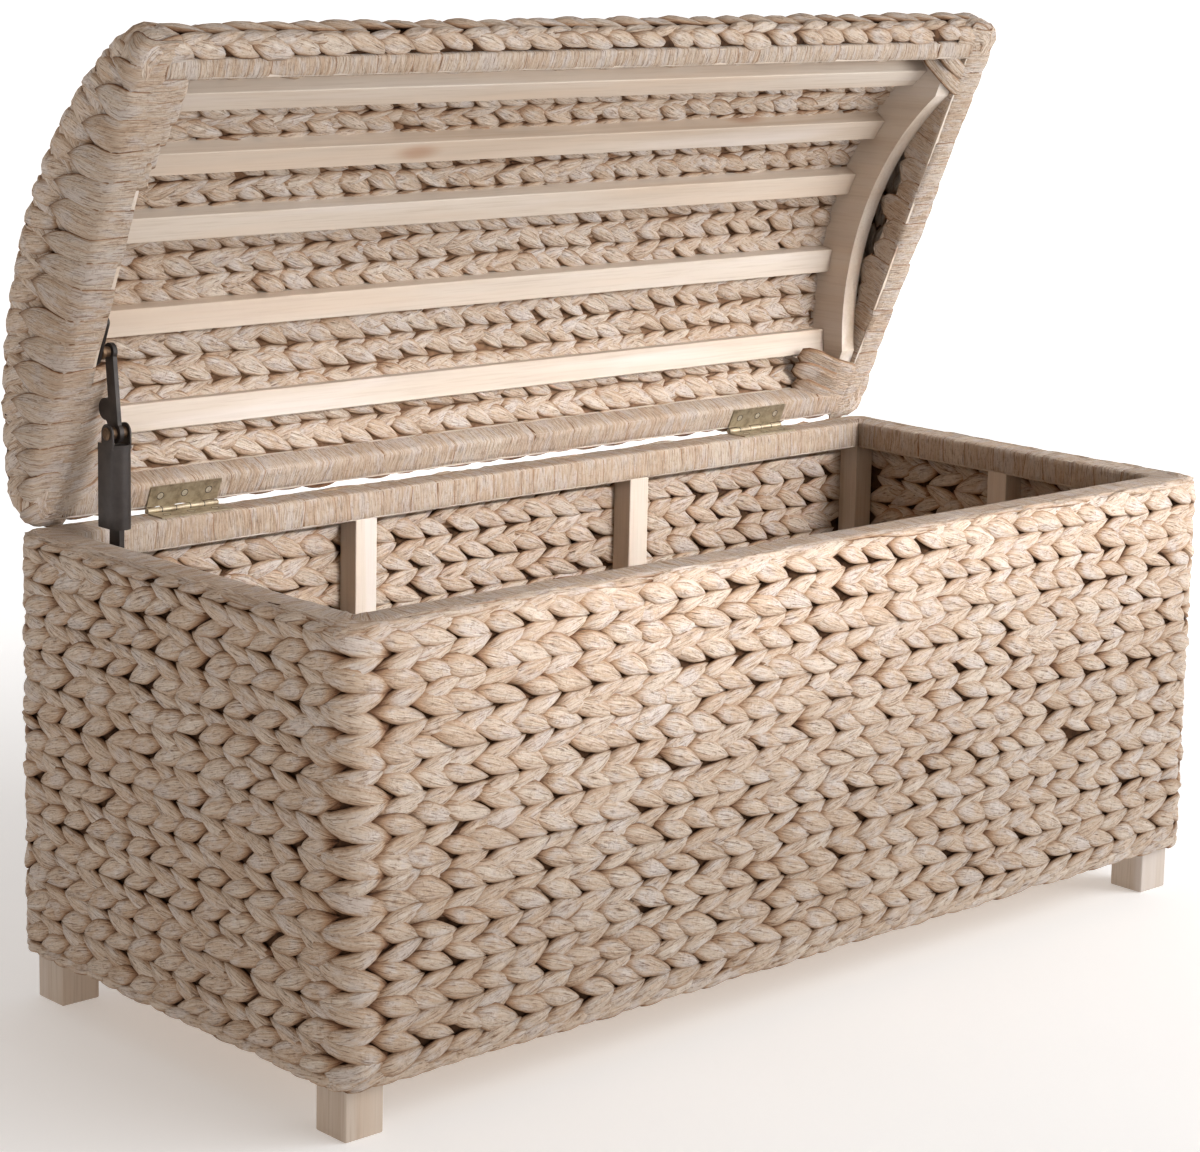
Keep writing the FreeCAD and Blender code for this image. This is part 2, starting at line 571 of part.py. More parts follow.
# lower bar: a flat strip with a round eye, its top held inside the housing
low_z, high_z = d("housing_low"), d("housing_high")
bar = fuse("stay_bar_blank", [rod("stay_bar_eye", bar_w / 2, bar_t, sx_c - bar_t / 2, sy_c, pz),
                              box("stay_bar_strip", bar_t, bar_w, low_z + 18 - pz, sx_c - bar_t / 2, sy_c - bar_w / 2, pz)])
node("stay_bar", cut("stay_bar", bar, [rod("stay_bar_bore", rb, bar_t + 6, sx_c - bar_t / 2 - 3, sy_c, pz)], BODY))

# housing: folded sheet round the front, cheeks with ears for the elbow, a notched foot
hw, hd, st = d("housing_width"), d("housing_depth"), d("sheet_thick")
y_f, y_b = sy_c - hd / 2, sy_c + hd / 2
tall = high_z - low_z
nose = rod("housing_nose", hw / 2, tall, sx_c, y_f + hw / 2, low_z, UPWARD)
shell = box("housing_block", hw, hd - hw / 2, tall, sx_c - hw / 2, y_f + hw / 2, low_z)
nose_in = rod("housing_nose_in", hw / 2 - st, tall + 10, sx_c, y_f + hw / 2, low_z + st, UPWARD)
hollow = box("housing_hollow", hw - 2 * st, hd - hw / 2 - st, tall + 10, sx_c - hw / 2 + st, y_f + hw / 2, low_z + st)
slot = box("housing_slot", hw - 2 * st, 12, 40, sx_c - hw / 2 + st, y_b - 6, high_z - 24)
foot = box("housing_foot", bar_t + 0.2, bar_w + 0.2, 8, sx_c - bar_t / 2 - 0.1, sy_c - bar_w / 2 - 0.1, low_z - 3)
ears = []
for k in (-1, 1):
    x0 = sx_c - hw / 2 if k < 0 else sx_c + hw / 2 - st
    ears.append(rod("housing_ear_%d" % k, 8.5, st, x0, sy_c, ez))
    ears.append(box("housing_tab_%d" % k, st, 17, ez - high_z + 4, x0, sy_c - 8.5, high_z - 4))
ear_bore = rod("housing_ear_bore", rr + 0.02, hw + 10, sx_c - hw / 2 - 5, sy_c, ez)
blank = cut("housing_shell", fuse("housing_blank", [nose, shell]), [nose_in, hollow, slot, foot])
node("stay_housing", cut("stay_housing", fuse("housing_eared", [blank] + ears), [ear_bore], BODY))

arm_t = d("arm_thick")
in_l, in_r = sx_c - hw / 2 + st, sx_c + hw / 2 - st
node("stay_elbow_rivet", fuse("stay_elbow_rivet", [
    rod("elbow_shaft", rr, hw + 2, sx_c - hw / 2 - 1, sy_c, ez),
    rod("elbow_head_a", rh, 1.2, sx_c - hw / 2 - 1.2, sy_c, ez), rod("elbow_head_b", rh, 1.2, sx_c + hw / 2, sy_c, ez),
    cone("elbow_crown_a", rh - 2.2, rh, 0.8, sx_c - hw / 2 - 2.0, sy_c, ez, ALONG_X),
    cone("elbow_crown_b", rh, rh - 2.2, 0.8, sx_c + hw / 2 + 1.2, sy_c, ez, ALONG_X),
    rod("elbow_collar_a", 5.2, sx_c - arm_t / 2 - 0.35 - in_l, in_l, sy_c, ez),
    rod("elbow_collar_b", 5.2, in_r - sx_c - arm_t / 2 - 0.35, sx_c + arm_t / 2 + 0.35, sy_c, ez)], BODY))

# friction shoe under the arm's round hub, and the spring that pushes it
hub = d("hub_radius")
shoe_top = ez - hub - 0.5
shoe_y = y_f + 4.5
node("stay_shoe", box("stay_shoe", 12, 10, 8, sx_c - 6, shoe_y, shoe_top - 8, BODY))
spring_low = low_z + 18.2
spring_y = shoe_y + 5
coil = rod("spring_coil", 5.8, shoe_top - 8 - spring_low - 0.1, sx_c, spring_y, spring_low, UPWARD)
eye = rod("spring_eye", 4.2, 80, sx_c, spring_y, spring_low - 10, UPWARD)
node("stay_spring", cut("stay_spring", coil, [eye], BODY))

# arm: hub, cam lobe, tapering bar and eye, cut from one plate
ty, tz = d("tip_dy"), d("tip_dz")
tilt = math.degrees(math.atan2(num(ty), num(tz)))
lean = FreeCAD.Rotation(V(1, 0, 0), -tilt)
x_arm = sx_c - arm_t / 2
span = math.hypot(num(ty), num(tz))
strip = box("arm_strip", arm_t, d("arm_width"), span)
strip.Placement = at(x_arm, sy_c, ez, HERE, lean) * FreeCAD.Placement(V(0, -num(d("arm_width")) / 2, 0), FreeCAD.Rotation())
lobe_tilt = math.degrees(math.atan2(num(d("lobe_dy")), num(d("lobe_dz"))))
neck = box("arm_neck", arm_t, 9, math.hypot(num(d("lobe_dy")), num(d("lobe_dz"))))
neck.Placement = at(x_arm, sy_c, ez, HERE, FreeCAD.Rotation(V(1, 0, 0), -lobe_tilt)) * FreeCAD.Placement(
    V(0, -4.5, 0), FreeCAD.Rotation())
arm = fuse("arm_blank", [strip, neck, rod("arm_hub", hub, arm_t, x_arm, sy_c, ez),
                         rod("arm_lobe", d("lobe_radius"), arm_t, x_arm, sy_c + d("lobe_dy"), ez + d("lobe_dz")),
                         rod("arm_eye", d("eye_radius"), arm_t, x_arm, sy_c + ty, ez + tz)])
node("stay_arm", cut("stay_arm", arm, [rod("arm_bore", rb, 20, x_arm - 8, sy_c, ez),
                                      rod("arm_tip_bore", rb, 20, x_arm - 8, sy_c + ty, ez + tz)], BODY))
node("stay_tip_rivet", fuse("stay_tip_rivet", [
    rod("tip_shank", rr, arm_t - 0.1, x_arm + 0.1, sy_c + ty, ez + tz),
    rod("tip_head", rh, 1.4, x_arm + arm_t, sy_c + ty, ez + tz),
    cone("tip_crown", rh, rh - 2.2, 0.8, x_arm + arm_t + 1.4, sy_c + ty, ez + tz, ALONG_X)], BODY))

# lid bracket: a plate on the lid's wound left rim with a stud that ends just short of the arm
wrap_x = -(frame_x - end_rail - 2 * wrap)
tip = LID.inverse().multVec(BODY.multVec(V(num(sx_c), num(sy_c + ty), num(ez + tz))))
l_plate = box("lid_plate", plate_t, 46, 17, wrap_x, tip.y - 34, tip.z - 4.5)
doc.recompute()
l_round = doc.addObject("Part::Fillet", "lid_plate_round")
l_round.Base = l_plate
l_round.Edges = [(i, 5.0, 5.0) for i, e in enumerate(l_plate.Shape.Edges, 1)
                 if abs(e.Vertexes[0].Point.x - e.Vertexes[1].Point.x) > 1]
lid_holes = [(tip.y - k, tip.z + 4.0) for k in (12.0, 28.0)]
holes = [rod("lid_plate_hole_%d" % i, 2.1, plate_t + 4, wrap_x - 2, y, z) for i, (y, z) in enumerate(lid_holes)]
node("stay_lid_bracket", cut("stay_lid_bracket", l_round, holes, LID))
node("stay_lid_stud", fuse("stay_lid_stud", [
    rod("lid_stud_base", 6.5, 3, wrap_x + plate_t, tip.y, tip.z),
    rod("lid_stud_shaft", 4.6, x_arm - 0.5 - wrap_x - plate_t, wrap_x + plate_t, tip.y, tip.z)], LID))

# round-head screws of the two brackets
def bracket_screw(name, x, y, z, frame):
    head = rod(name + "_head", 3.6, 1.2, 0, 0, 0)
    crown = cone(name + "_crown", 3.6, 2.0, 0.9, 1.2, 0, 0, ALONG_X)
    shank = rod(name + "_shank", 1.9, 15, -15, 0, 0)
    slots = [box(name + "_slot_a", 1.0, 3.0, 0.7, 1.4, -1.5, -0.35), box(name + "_slot_b", 1.0, 0.7, 3.0, 1.4, -0.35, -1.5)]
    return cut(name, fuse(name + "_stock", [head, crown, shank]), slots, at(x, y, z, frame))


node("stay_screws_body", group("stay_screws_body", [
    bracket_screw("stay_screw_body_%d" % i, stud_x, sy_c + k * 13, pz, BODY) for i, k in enumerate((-1, 1))]))
node("stay_screws_lid", group("stay_screws_lid", [
    bracket_screw("stay_screw_lid_%d" % i, wrap_x + plate_t, y, z, LID) for i, (y, z) in enumerate(lid_holes)]))

# ------------------------------------------------------------- recompute, check
doc.recompute()
faults = []
for obj in doc.Objects:
    if "Invalid" in obj.State or "Error" in obj.State:
        faults.append("%s: %s" % (obj.Name, obj.State))
for label, obj in nodes:
    s = obj.Shape
    if s.isNull() or not s.isValid():
        faults.append("%s: shape not valid" % label)
    elif len(s.Solids) == 0 or s.Volume <= 0:
        faults.append("%s: no solid" % label)
if len(set(label for label, _ in nodes)) != len(nodes) or len(nodes) > 60:
    faults.append("node names: %d of %d" % (len(set(label for label, _ in nodes)), len(nodes)))
if faults:
    raise RuntimeError("; ".join(faults))

os.makedirs("parts", exist_ok=True)
whole = FreeCAD.BoundBox()
for label, obj in nodes:
    obj.Shape.exportStep("parts/%s.step" % label)
    whole.add(obj.Shape.BoundBox)
    b = obj.Shape.BoundBox
    print("%-24s solids %2d  vol %10.0f  x %7.1f %7.1f  y %7.1f %7.1f  z %7.1f %7.1f" % (
        label, len(obj.Shape.Solids), obj.Shape.Volume, b.XMin, b.XMax, b.YMin, b.YMax, b.ZMin, b.ZMax))
print("nodes", len(nodes))
print("whole", whole)
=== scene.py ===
import math

import bpy
import numpy as np
from mathutils import Matrix, Vector


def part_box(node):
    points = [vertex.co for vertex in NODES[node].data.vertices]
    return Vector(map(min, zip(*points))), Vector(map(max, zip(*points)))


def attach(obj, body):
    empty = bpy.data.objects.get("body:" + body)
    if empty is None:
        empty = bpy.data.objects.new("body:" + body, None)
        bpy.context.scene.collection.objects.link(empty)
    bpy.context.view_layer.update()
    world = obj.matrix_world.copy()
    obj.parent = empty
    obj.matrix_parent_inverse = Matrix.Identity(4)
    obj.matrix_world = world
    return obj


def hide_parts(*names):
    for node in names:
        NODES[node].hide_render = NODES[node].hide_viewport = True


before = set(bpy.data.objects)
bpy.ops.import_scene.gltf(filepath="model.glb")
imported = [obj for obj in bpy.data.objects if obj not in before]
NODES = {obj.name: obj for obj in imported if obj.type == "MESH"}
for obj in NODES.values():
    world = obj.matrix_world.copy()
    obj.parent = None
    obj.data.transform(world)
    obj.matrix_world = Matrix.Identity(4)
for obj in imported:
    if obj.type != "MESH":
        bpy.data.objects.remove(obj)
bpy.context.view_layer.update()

rng = np.random.default_rng(20)

# ------------------------------------------------------------------ sizes (mm)
X1 = 533.5                      # outer face of the end walls
YF, YB = -248.9, 218.1          # outer faces of the front and back walls
ZB, ZT = 45.0, 417.0            # lower edge of the walls, top of the rim
RC = 26.0                       # radius of the upright corners
WALL = 15.0
TH = math.radians(67.0)
DOME_R, DOME_RI, DOME_V, DOME_H = 390.0, 375.0, 227.5, -283.0
LID_X = 526.0


# ------------------------------------------------------------------ meshes
def mesh_object(name, co, quads, tris, attrs, mat, body, nodes=(), slot=None, sharp=None):
    me = bpy.data.meshes.new(name)
    quads = np.asarray(quads, np.int32).reshape(-1, 4)
    tris = np.asarray(tris, np.int32).reshape(-1, 3)
    me.vertices.add(len(co))
    me.vertices.foreach_set("co", (np.asarray(co) * 0.001).astype(np.float32).ravel())
    loops = np.concatenate([quads.ravel(), tris.ravel()]).astype(np.int32)
    me.loops.add(len(loops))
    me.loops.foreach_set("vertex_index", loops)
    me.polygons.add(len(quads) + len(tris))
    start = np.concatenate([np.arange(len(quads)) * 4, len(quads) * 4 + np.arange(len(tris)) * 3]).astype(np.int32)
    me.polygons.foreach_set("loop_start", start)
    me.polygons.foreach_set("use_smooth", np.ones(len(start), bool))
    me.update(calc_edges=True)
    for k, a in attrs.items():
        a = np.asarray(a, np.float32)
        if a.ndim == 2:
            me.attributes.new(k, "FLOAT_VECTOR", "POINT").data.foreach_set("vector", a.ravel())
        else:
            me.attributes.new(k, "FLOAT", "POINT").data.foreach_set("value", a)
    me.materials.append(mat)
    ob = bpy.data.objects.new(name, me)
    bpy.context.scene.collection.objects.link(ob)
    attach(ob, body)
    if nodes:
        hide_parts(*nodes)
    return ob


def smooth(x):
    x = np.clip(x, 0, 1)
    return x * x * (3 - 2 * x)


U = np.array([0, .09, .19, .3, .42, .53, .64, .74, .83, .905, .96, 1.0])
A = np.radians(np.array([-108, -80, -53, -26, 0, 26, 53, 80, 108.]))
NU, NB = len(U), len(A)


def width_profile(kind):
    """Half width along a lobe from its tail (0) to its head (1): upper, lower and spindle."""
    if kind == 0:
        pk, p, e = .54, 1.30, 1.12
    elif kind == 1:
        pk, p, e = .56, 1.45, 1.02
    else:
        return .16 + .84 * np.sin(np.pi * np.clip(U, 0, 1)) ** .62
    w = np.empty(NU)
    a = U < pk
    w[a] = .05 + .95 * np.sin(np.pi / 2 * U[a] / pk) ** e
    k = (U[~a] - pk) / (1 - pk)
    w[~a] = .05 + .95 * np.maximum(1 - k ** p, 0) ** .76
    return w


WP = [width_profile(k) for k in range(3)]


class Lobes:
    """Leaf-like lobes gathered on one surface, then turned into a mesh."""

    def __init__(self):
        self.rows = []

    # the last argument scales the painted shade on each lobe's tucked tail
    def add(self, s, t, ang, L, W, H, n0, nt, kind, dirn=1, tilt=0., bend=0., tone=None, dip=None, tail_shade=1.0):
        self.rows.append((s, t, ang, L, W, H, n0, nt, kind, dirn, tilt, bend,
                          rng.random() if tone is None else tone, (2.0, .9, 3.0)[kind] if dip is None else dip, tail_shade))

    def arrays(self, surf):
        R = np.array(self.rows, float)
        s, t, ang, L, W, H, n0, nt, kind, dirn, tilt, bend, tone, dip, tail_shade = [R[:, i][:, None, None] for i in range(R.shape[1])]
        N = len(R)
        u = U[None, :, None]
        th = A[None, None, :]
        wp = np.stack(WP)[kind[:, 0, 0].astype(int)][:, :, None]
        a = np.radians(ang)
        spin = kind == 2
        along = np.where(spin, u - .5, u - 1.0) * L
        bow = bend * 4 * u * (1 - u)
        cs = s + dirn * (along * np.cos(a) - bow * np.sin(a))
        ct = t + along * np.sin(a) + bow * np.cos(a)
        w = W * wp
        # uneven outline and soft lengthwise folds, different for every lobe
        ph = rng.random((N, 1, 1)) * 6.28
        w = w * (1 + .05 * np.sin(u * 7 + ph) + .03 * np.sin(u * 15 + 2 * ph))
        fold = rng.normal(0, .46, (N, 1, NB)) * (1 + .6 * np.sin(u * 5 + ph)) + rng.normal(0, .16, (N, NU, NB))
        fold[:, :, 0] = 0
        fold[:, :, -1] = 0
        ac = np.sin(th)
        S = cs - dirn * ac * w * np.sin(a)
        T = ct + ac * w * np.cos(a)
        hh = H * (.30 + .70 * wp)
        endfall = np.where(spin, dip * (np.abs(2 * u - 1)) ** 2.5, dip * np.clip((u - .72) / .28, 0, 1) ** 2)
        base = np.where(spin, n0, nt + (n0 - nt) * smooth(u / .50)) - endfall
        Nn = base + hh * np.sign(np.cos(th)) * np.abs(np.cos(th)) ** .52 * np.where(np.cos(th) < 0, .35, 1) + tilt * ac + fold * (.4 + .6 * wp)
        co = np.stack(surf(S, T, Nn), -1)
        tail = np.where(spin, smooth(np.minimum(u, 1 - u) / .22), smooth(u / .45))
        edge = np.clip(np.cos(th * .80), 0, 1)
        head = np.where(spin, 1, 1 - .35 * np.clip((u - .9) / .1, 0, 1))
        # painted shade factor: 1 on the open crest, falling toward the tucked tail, the side edges and the head tip,
        # standing in for the shadow in the creases
        painted_shade = np.broadcast_to((1 - (.80 - .80 * tail) * tail_shade) * (.12 + .88 * edge ** 1.05) * head, S.shape)
        fib = np.stack(np.broadcast_arrays(u * L * .001, th / 1.57 * W * .001, tone * 37.0 + 0 * u * th), -1)
        tn = np.broadcast_to(tone, S.shape)
        return co, fib, painted_shade, tn, S, T, Nn

    def build(self, surf):
        co, fib, painted_shade, tn, S, T, Nn = self.arrays(surf)
        N = len(co)
        g = np.arange(NU * NB).reshape(NU, NB)
        q = []
        for i in range(NU - 1):
            for j in range(NB):
                k = (j + 1) % NB
                q.append((g[i, j], g[i + 1, j], g[i + 1, k], g[i, k]))
        caps_q, caps_t = [], []
        for i, fl in ((0, 1), (NU - 1, 0)):
            r = list(g[i])
            lo, hi = 0, NB - 1
            while hi - lo > 2:
                f = (r[lo], r[lo + 1], r[hi - 1], r[hi])
                caps_q.append(f if fl else f[::-1])
                lo += 1
                hi -= 1
            f = (r[lo], r[lo + 1], r[hi])
            caps_t.append(f if fl else f[::-1])
        q = np.array(q + caps_q)
        tt = np.array(caps_t)
        # the winding follows the side that the surface faces
        m = len(self.rows) // 2
        c0 = co[m, 5, 4]
        du, db = co[m, 6, 4] - c0, co[m, 5, 5] - c0
        up = np.array(surf(S[m:m + 1, 5:6, 4:5], T[m:m + 1, 5:6, 4:5], Nn[m:m + 1, 5:6, 4:5] + 1.0)).ravel() - c0
        if np.dot(np.cross(du, db), up) < 0:
            q = q[:, ::-1]
            tt = tt[:, ::-1]
        off = (np.arange(N) * NU * NB)[:, None, None]
        return (co.reshape(-1, 3), (q[None] + off).reshape(-1, 4), (tt[None] + off).reshape(-1, 3),
                {"fib": fib.reshape(-1, 3), "painted_shade": painted_shade.reshape(-1), "tone": tn.reshape(-1)})


def merge(parts):
    co, q, t, at, off = [], [], [], {}, 0
    for c, a, b, d in parts:
        co.append(c)
        q.append(a + off)
        t.append(b + off)
        for k in d:
            at.setdefault(k, []).append(d[k])
        off += len(c)
    return np.concatenate(co), np.concatenate(q), np.concatenate(t), {k: np.concatenate(v) for k, v in at.items()}


# ------------------------------------------------------------------ surfaces
def polyline(points, soft=0.0, step=1.0):
    """Dense, optionally softened, profile with unit tangents. Returns a sampler of place and tangent."""
    p = np.array(points, float)
    d = np.r_[0, np.cumsum(np.hypot(*np.diff(p, axis=0).T))]
    n = int(d[-1] / step) + 1
    x = np.linspace(0, d[-1], n)
    q = np.stack([np.interp(x, d, p[:, 0]), np.interp(x, d, p[:, 1])], 1)
    if soft:
        k = max(1, int(soft / step))
        pad = np.r_[q[:1] + (q[:1] - q[1:2]) * np.arange(k, 0, -1)[:, None], q, q[-1:] + (q[-1:] - q[-2:-1]) * np.arange(1, k + 1)[:, None]]
        w = np.hanning(2 * k + 3)[1:-1]
        w /= w.sum()
        q = np.stack([np.convolve(pad[:, i], w, "valid") for i in range(2)], 1)
    d = np.r_[0, np.cumsum(np.hypot(*np.diff(q, axis=0).T))]
    tg = np.gradient(q, axis=0)
    tg /= np.linalg.norm(tg, axis=1)[:, None]

    def at(t):
        tc = np.clip(t, 0, d[-1])
        a, b = np.interp(tc, d, q[:, 0]), np.interp(tc, d, q[:, 1])
        ta, tb = np.interp(tc, d, tg[:, 0]), np.interp(tc, d, tg[:, 1])
        r = np.hypot(ta, tb)
        ta, tb = ta / r, tb / r
        ex = t - tc
        return a + ta * ex, b + tb * ex, ta, tb
    at.length = d[-1]
    return at


def arc(cx, cy, r, a0, a1, n=10):
    a = np.radians(np.linspace(a0, a1, n))
    return [(cx + r * math.cos(x), cy + r * math.sin(x)) for x in a]


# walls, outside: s runs round the walls from the middle of the front left corner, along the front first
LX, LY = 2 * X1 - 2 * RC, (YB - YF) - 2 * RC
QA = RC * math.pi / 2
PER = 2 * LX + 2 * LY + 4 * QA


def perimeter(s, off):
    s = np.mod(s, PER)
    x = np.zeros_like(s)
    y = np.zeros_like(s)
    r = RC + off
    cur = 0.0
    cx, cy0, cy1 = X1 - RC, YF + RC, YB - RC

    def corner(mask, ang, px, py):
        x[mask] = (px + r * np.cos(ang))[mask]
        y[mask] = (py + r * np.sin(ang))[mask]
    h = QA / 2
    r = np.broadcast_to(r, s.shape)
    off = np.broadcast_to(off, s.shape)
    m = s < h
    corner(m, math.pi * 1.25 + s / RC, -cx, cy0)
    a, b = h, h + LX
    m = (s >= a) & (s < b)
    x[m] = (-cx + (s - a))[m]
    y[m] = (YF - off)[m]
    a, b = b, b + QA
    m = (s >= a) & (s < b)
    corner(m, -math.pi / 2 + (s - a) / RC, cx, cy0)
    a, b = b, b + LY
    m = (s >= a) & (s < b)
    x[m] = (X1 + off)[m]
    y[m] = (cy0 + (s - a))[m]
    a, b = b, b + QA
    m = (s >= a) & (s < b)
    corner(m, (s - a) / RC, cx, cy1)
    a, b = b, b + LX
    m = (s >= a) & (s < b)
    x[m] = (cx - (s - a))[m]
    y[m] = (YB + off)[m]
    a, b = b, b + QA
    m = (s >= a) & (s < b)
    corner(m, math.pi / 2 + (s - a) / RC, -cx, cy1)
    a, b = b, b + LY
    m = (s >= a) & (s < b)
    x[m] = (-X1 - off)[m]
    y[m] = (cy1 - (s - a))[m]
    m = s >= b
    corner(m, math.pi + (s - b) / RC, -cx, cy0)
    return x, y


WALL_PROFILE = polyline([(0, ZB), (0, ZT - 9)] + [(9 - 9 * math.cos(x), ZT - 9 + 9 * math.sin(x)) for x in np.linspace(0, math.pi / 2, 12)[1:]] + [(30, ZT)], soft=4)


def wall_out(s, t, n):
    o, z, to, tz = WALL_PROFILE(t)
    x, y = perimeter(s, -o + n * tz)
    return x, y, z + n * (to)


def make_wall_in(which):
    def f(s, t, n):
        d = WALL + n            # n grows into the room
        z = ZB + t
        if which == "back":
            return s, YB - d, z
        if which == "front":
            return s, YF + d, z
        if which == "right":
            return X1 - d, s, z
        return -X1 + d, s, z
    return f


def lid_place(x, v, h):
    return x, 205.6 - v * math.cos(TH) + (h + 3) * math.sin(TH), 420 + v * math.sin(TH) + (h + 3) * math.cos(TH)


def dome_arc(r, a0, a1, n=60):
    a = np.radians(np.linspace(a0, a1, n))
    return [(DOME_V + r * math.sin(x), DOME_H + r * math.cos(x)) for x in a]


LID_PROFILE = polyline([(440.8, .9)] + arc(453, 8.9, 8, -90, 0) + [(461, 29)] + dome_arc(DOME_R, 36.6, -36.6) + [(-6, 29), (-6, 9)], soft=5)
END_DROP = 10.0
LR = 24.0


def turn_in(v):
    """How far the lid's ends are cut back by its rounded upright corners."""
    d = np.maximum(np.clip(v - (461 - LR), 0, LR), np.clip((-6 + LR) - v, 0, LR))
    return LR - np.sqrt(np.maximum(LR ** 2 - d ** 2, 0))


def lid_out(s, t, n):
    v, h, tv, th = LID_PROFILE(t)
    lim = LID_X - .5 - turn_in(v)
    s = np.clip(s, -lim, lim)
    k = np.clip((np.abs(s) - (lim - END_DROP)) / END_DROP, 0, 1)
    n = n - END_DROP * (1 - np.sqrt(np.maximum(1 - k ** 2, 0)))
    return lid_place(s, v + n * th, h - n * tv)


def lid_in(s, t, n):
    r = DOME_RI - n
    return lid_place(s, DOME_V + r * np.sin(t / DOME_RI), DOME_H + r * np.cos(t / DOME_RI))


def make_arc_edge(sign):
    prof = polyline([(LID_X, DOME_R - 50), (LID_X, DOME_R - 11)] + arc(LID_X - 11, DOME_R - 11, 11, 0, 90) + [(LID_X - 40, DOME_R)], soft=4)

    def f(s, t, n):
        x, rho, tx, tr = prof(t)
        x, rho = x + n * tr, rho - n * tx
        ph = s / DOME_R
        v = DOME_V + rho * np.sin(ph)
        return lid_place(sign * (x - .8 * turn_in(v)), v, DOME_H + rho * np.cos(ph))
    f.length = prof.length
    return f


def make_lid_end(sign):
    """End faces with the fold over the rim: t runs down the face from 75 above the rim, over the edge, and inwards."""
    prof = polyline([(0, 75), (0, 7)] + [(7 - 7 * math.cos(x), 7 - 7 * math.sin(x) + .6) for x in np.linspace(0, math.pi / 2, 10)[1:]]
                    + [(35.1, .6)] + [(35.1 + 1.4 * math.sin(x), 2.0 - 1.4 * math.cos(x)) for x in np.linspace(0, math.pi / 2, 8)[1:]] + [(36.5, 27), (35.2, 46)], soft=1.2)

    def f(s, t, n):
        w, h, tw, th = prof(t)
        w, h = w + n * th, h - n * tw
        # the end face turns in a little at the lid's front and back corners
        v = np.clip(s, -3.0, 458.0)
        w = w + turn_in(v) * np.clip(1 - w / 60, 0, 1)
        return lid_place(sign * (LID_X - w), v, h)
    f.length = prof.length
    return f


# ------------------------------------------------------------------ braid rows
def row(lb, s_from, s_to, tc, dirn=1, pitch=33.5, sc=1.0, up=True, low=True, n_add=0.0, hs=1.0, first=None, keep=0.0, ua=-17.0, la=13.5):
    """One plaited row: upper and lower lobes that meet in arrow heads pointing along dirn.
    No lobe starts more than keep before the row's own start."""
    length = abs(s_to - s_from)
    p = (pitch * rng.uniform(.25, 1.0)) if first is None else first
    while p < length:
        s = s_from + dirn * p
        k = rng.normal(0, 1, 14)
        z = sc * (1 + .06 * k[0])
        L = min(62 * z * (1 + .06 * k[4]), p + keep)
        ta = tc - 2.2 * sc
        if up and L > 14:
            lb.add(s + dirn * .8 * k[1], ta + (1.8 + .6 * k[2]) * sc, ua + 2.0 * k[3], L, 9.7 * z * (1 + .08 * k[5]),
                   4.4 * hs * (1 + .10 * k[6]), -3.7 * hs + n_add + .35 * k[7], -6.4 * hs + n_add, 0, dirn, tilt=.7 * k[8], bend=.8 + .8 * k[9])
        k = rng.normal(0, 1, 14)
        z = sc * (1 + .06 * k[0])
        L = min(60 * z * (1 + .06 * k[4]), p + keep)
        if low and L > 14:
            lb.add(s + dirn * (2.2 + .8 * k[1]), ta + (.2 + .6 * k[2]) * sc, la + 2.0 * k[3], L, 9.4 * z * (1 + .07 * k[5]),
                   4.4 * hs * (1 + .10 * k[6]), -4.6 * hs + n_add + .35 * k[7], -9.6 * hs + n_add, 1, dirn, tilt=.7 * k[8], bend=-1.0 + .8 * k[9])
        p += pitch * (1 + .05 * rng.normal())


ROWS = 12
PITCH_T = 29.4
S_FL, S_FR, S_BR = 0.0, QA + LX, 2 * QA + LX + LY      # middles of the corners along the first way round
S_BL = 3 * QA + 2 * LX + LY - PER                       # along the other way round, negative


def wall_lobes():
    front, right, left, back = Lobes(), Lobes(), Lobes(), Lobes()

    def pick(lb_all, face):
        for r in lb_all.rows:
            mid = r[0] - r[9] * r[3] * .45 * (0 if r[8] == 2 else 1)
            face(mid).rows.append(r)

    def face_a(mid):
        return front if mid < S_FR else right

    def face_b(mid):
        return left if mid > S_BL else back
    for k in range(ROWS):
        tc = 10 + PITCH_T * (k + .5)
        a = Lobes()
        row(a, S_FL + 40, S_BR + 13 + rng.uniform(-3, 3), tc, 1, first=35.5 + rng.uniform(-3, 3), keep=24)
        pick(a, face_a)
        # strands that turn the corner where the rows begin and where they end
        for s0, lb, ln in ((S_FL + 3, front, 84), (S_BR, right, 86)):
            ta = tc - 2.2 + rng.uniform(-.8, .8)
            sg = 1 if lb is front else -1
            for an, bend, t0, wd, nn in ((10, -3.0, -5.6, 9.6, -5.3), (-13, 4.0, 8.6, 10.2, -4.5)):
                c = Lobes()
                c.add(s0 + rng.uniform(-3, 3), ta + t0, sg * an + rng.uniform(-4, 4), ln * rng.uniform(.95, 1.06), wd * rng.uniform(.94, 1.08), 5.2, nn, -8, 2, 1, dip=3.2, bend=bend * rng.uniform(.6, 1.3))
                lb.rows += c.rows
    for k in range(ROWS + 1):
        b = Lobes()
        row(b, S_FL - 22, S_BR - PER - 13 + rng.uniform(-3, 3), 10 + PITCH_T * k, -1, first=33.5 + rng.uniform(-3, 3), keep=26, low=k > 0)
        pick(b, face_b)
    # half row under the rim: lower lobes whose heads fold over the edge
    tc = 10 + PITCH_T * ROWS + 13.5
    a = Lobes()
    row(a, S_FL - 8, S_BR, tc, 1, up=False, sc=1.08, keep=30)
    pick(a, face_a)
    # twisted lower edge
    p = 0.0
    while p < PER:
        c = Lobes()
        c.add(p, 6.0 + rng.normal() * .5, 9 + 3 * rng.normal(), 50 * rng.uniform(.9, 1.15), 5.8 * rng.uniform(.9, 1.12), 5.2, -6.0, -8, 2, 1, dip=2.0)
        q = p if p < S_BR else p - PER
        (front if 0 <= q < S_FR else right if q >= S_FR else left if q > S_BL else back).rows += c.rows
        p += 24 * rng.uniform(.92, 1.08)
    return front, right, left, back


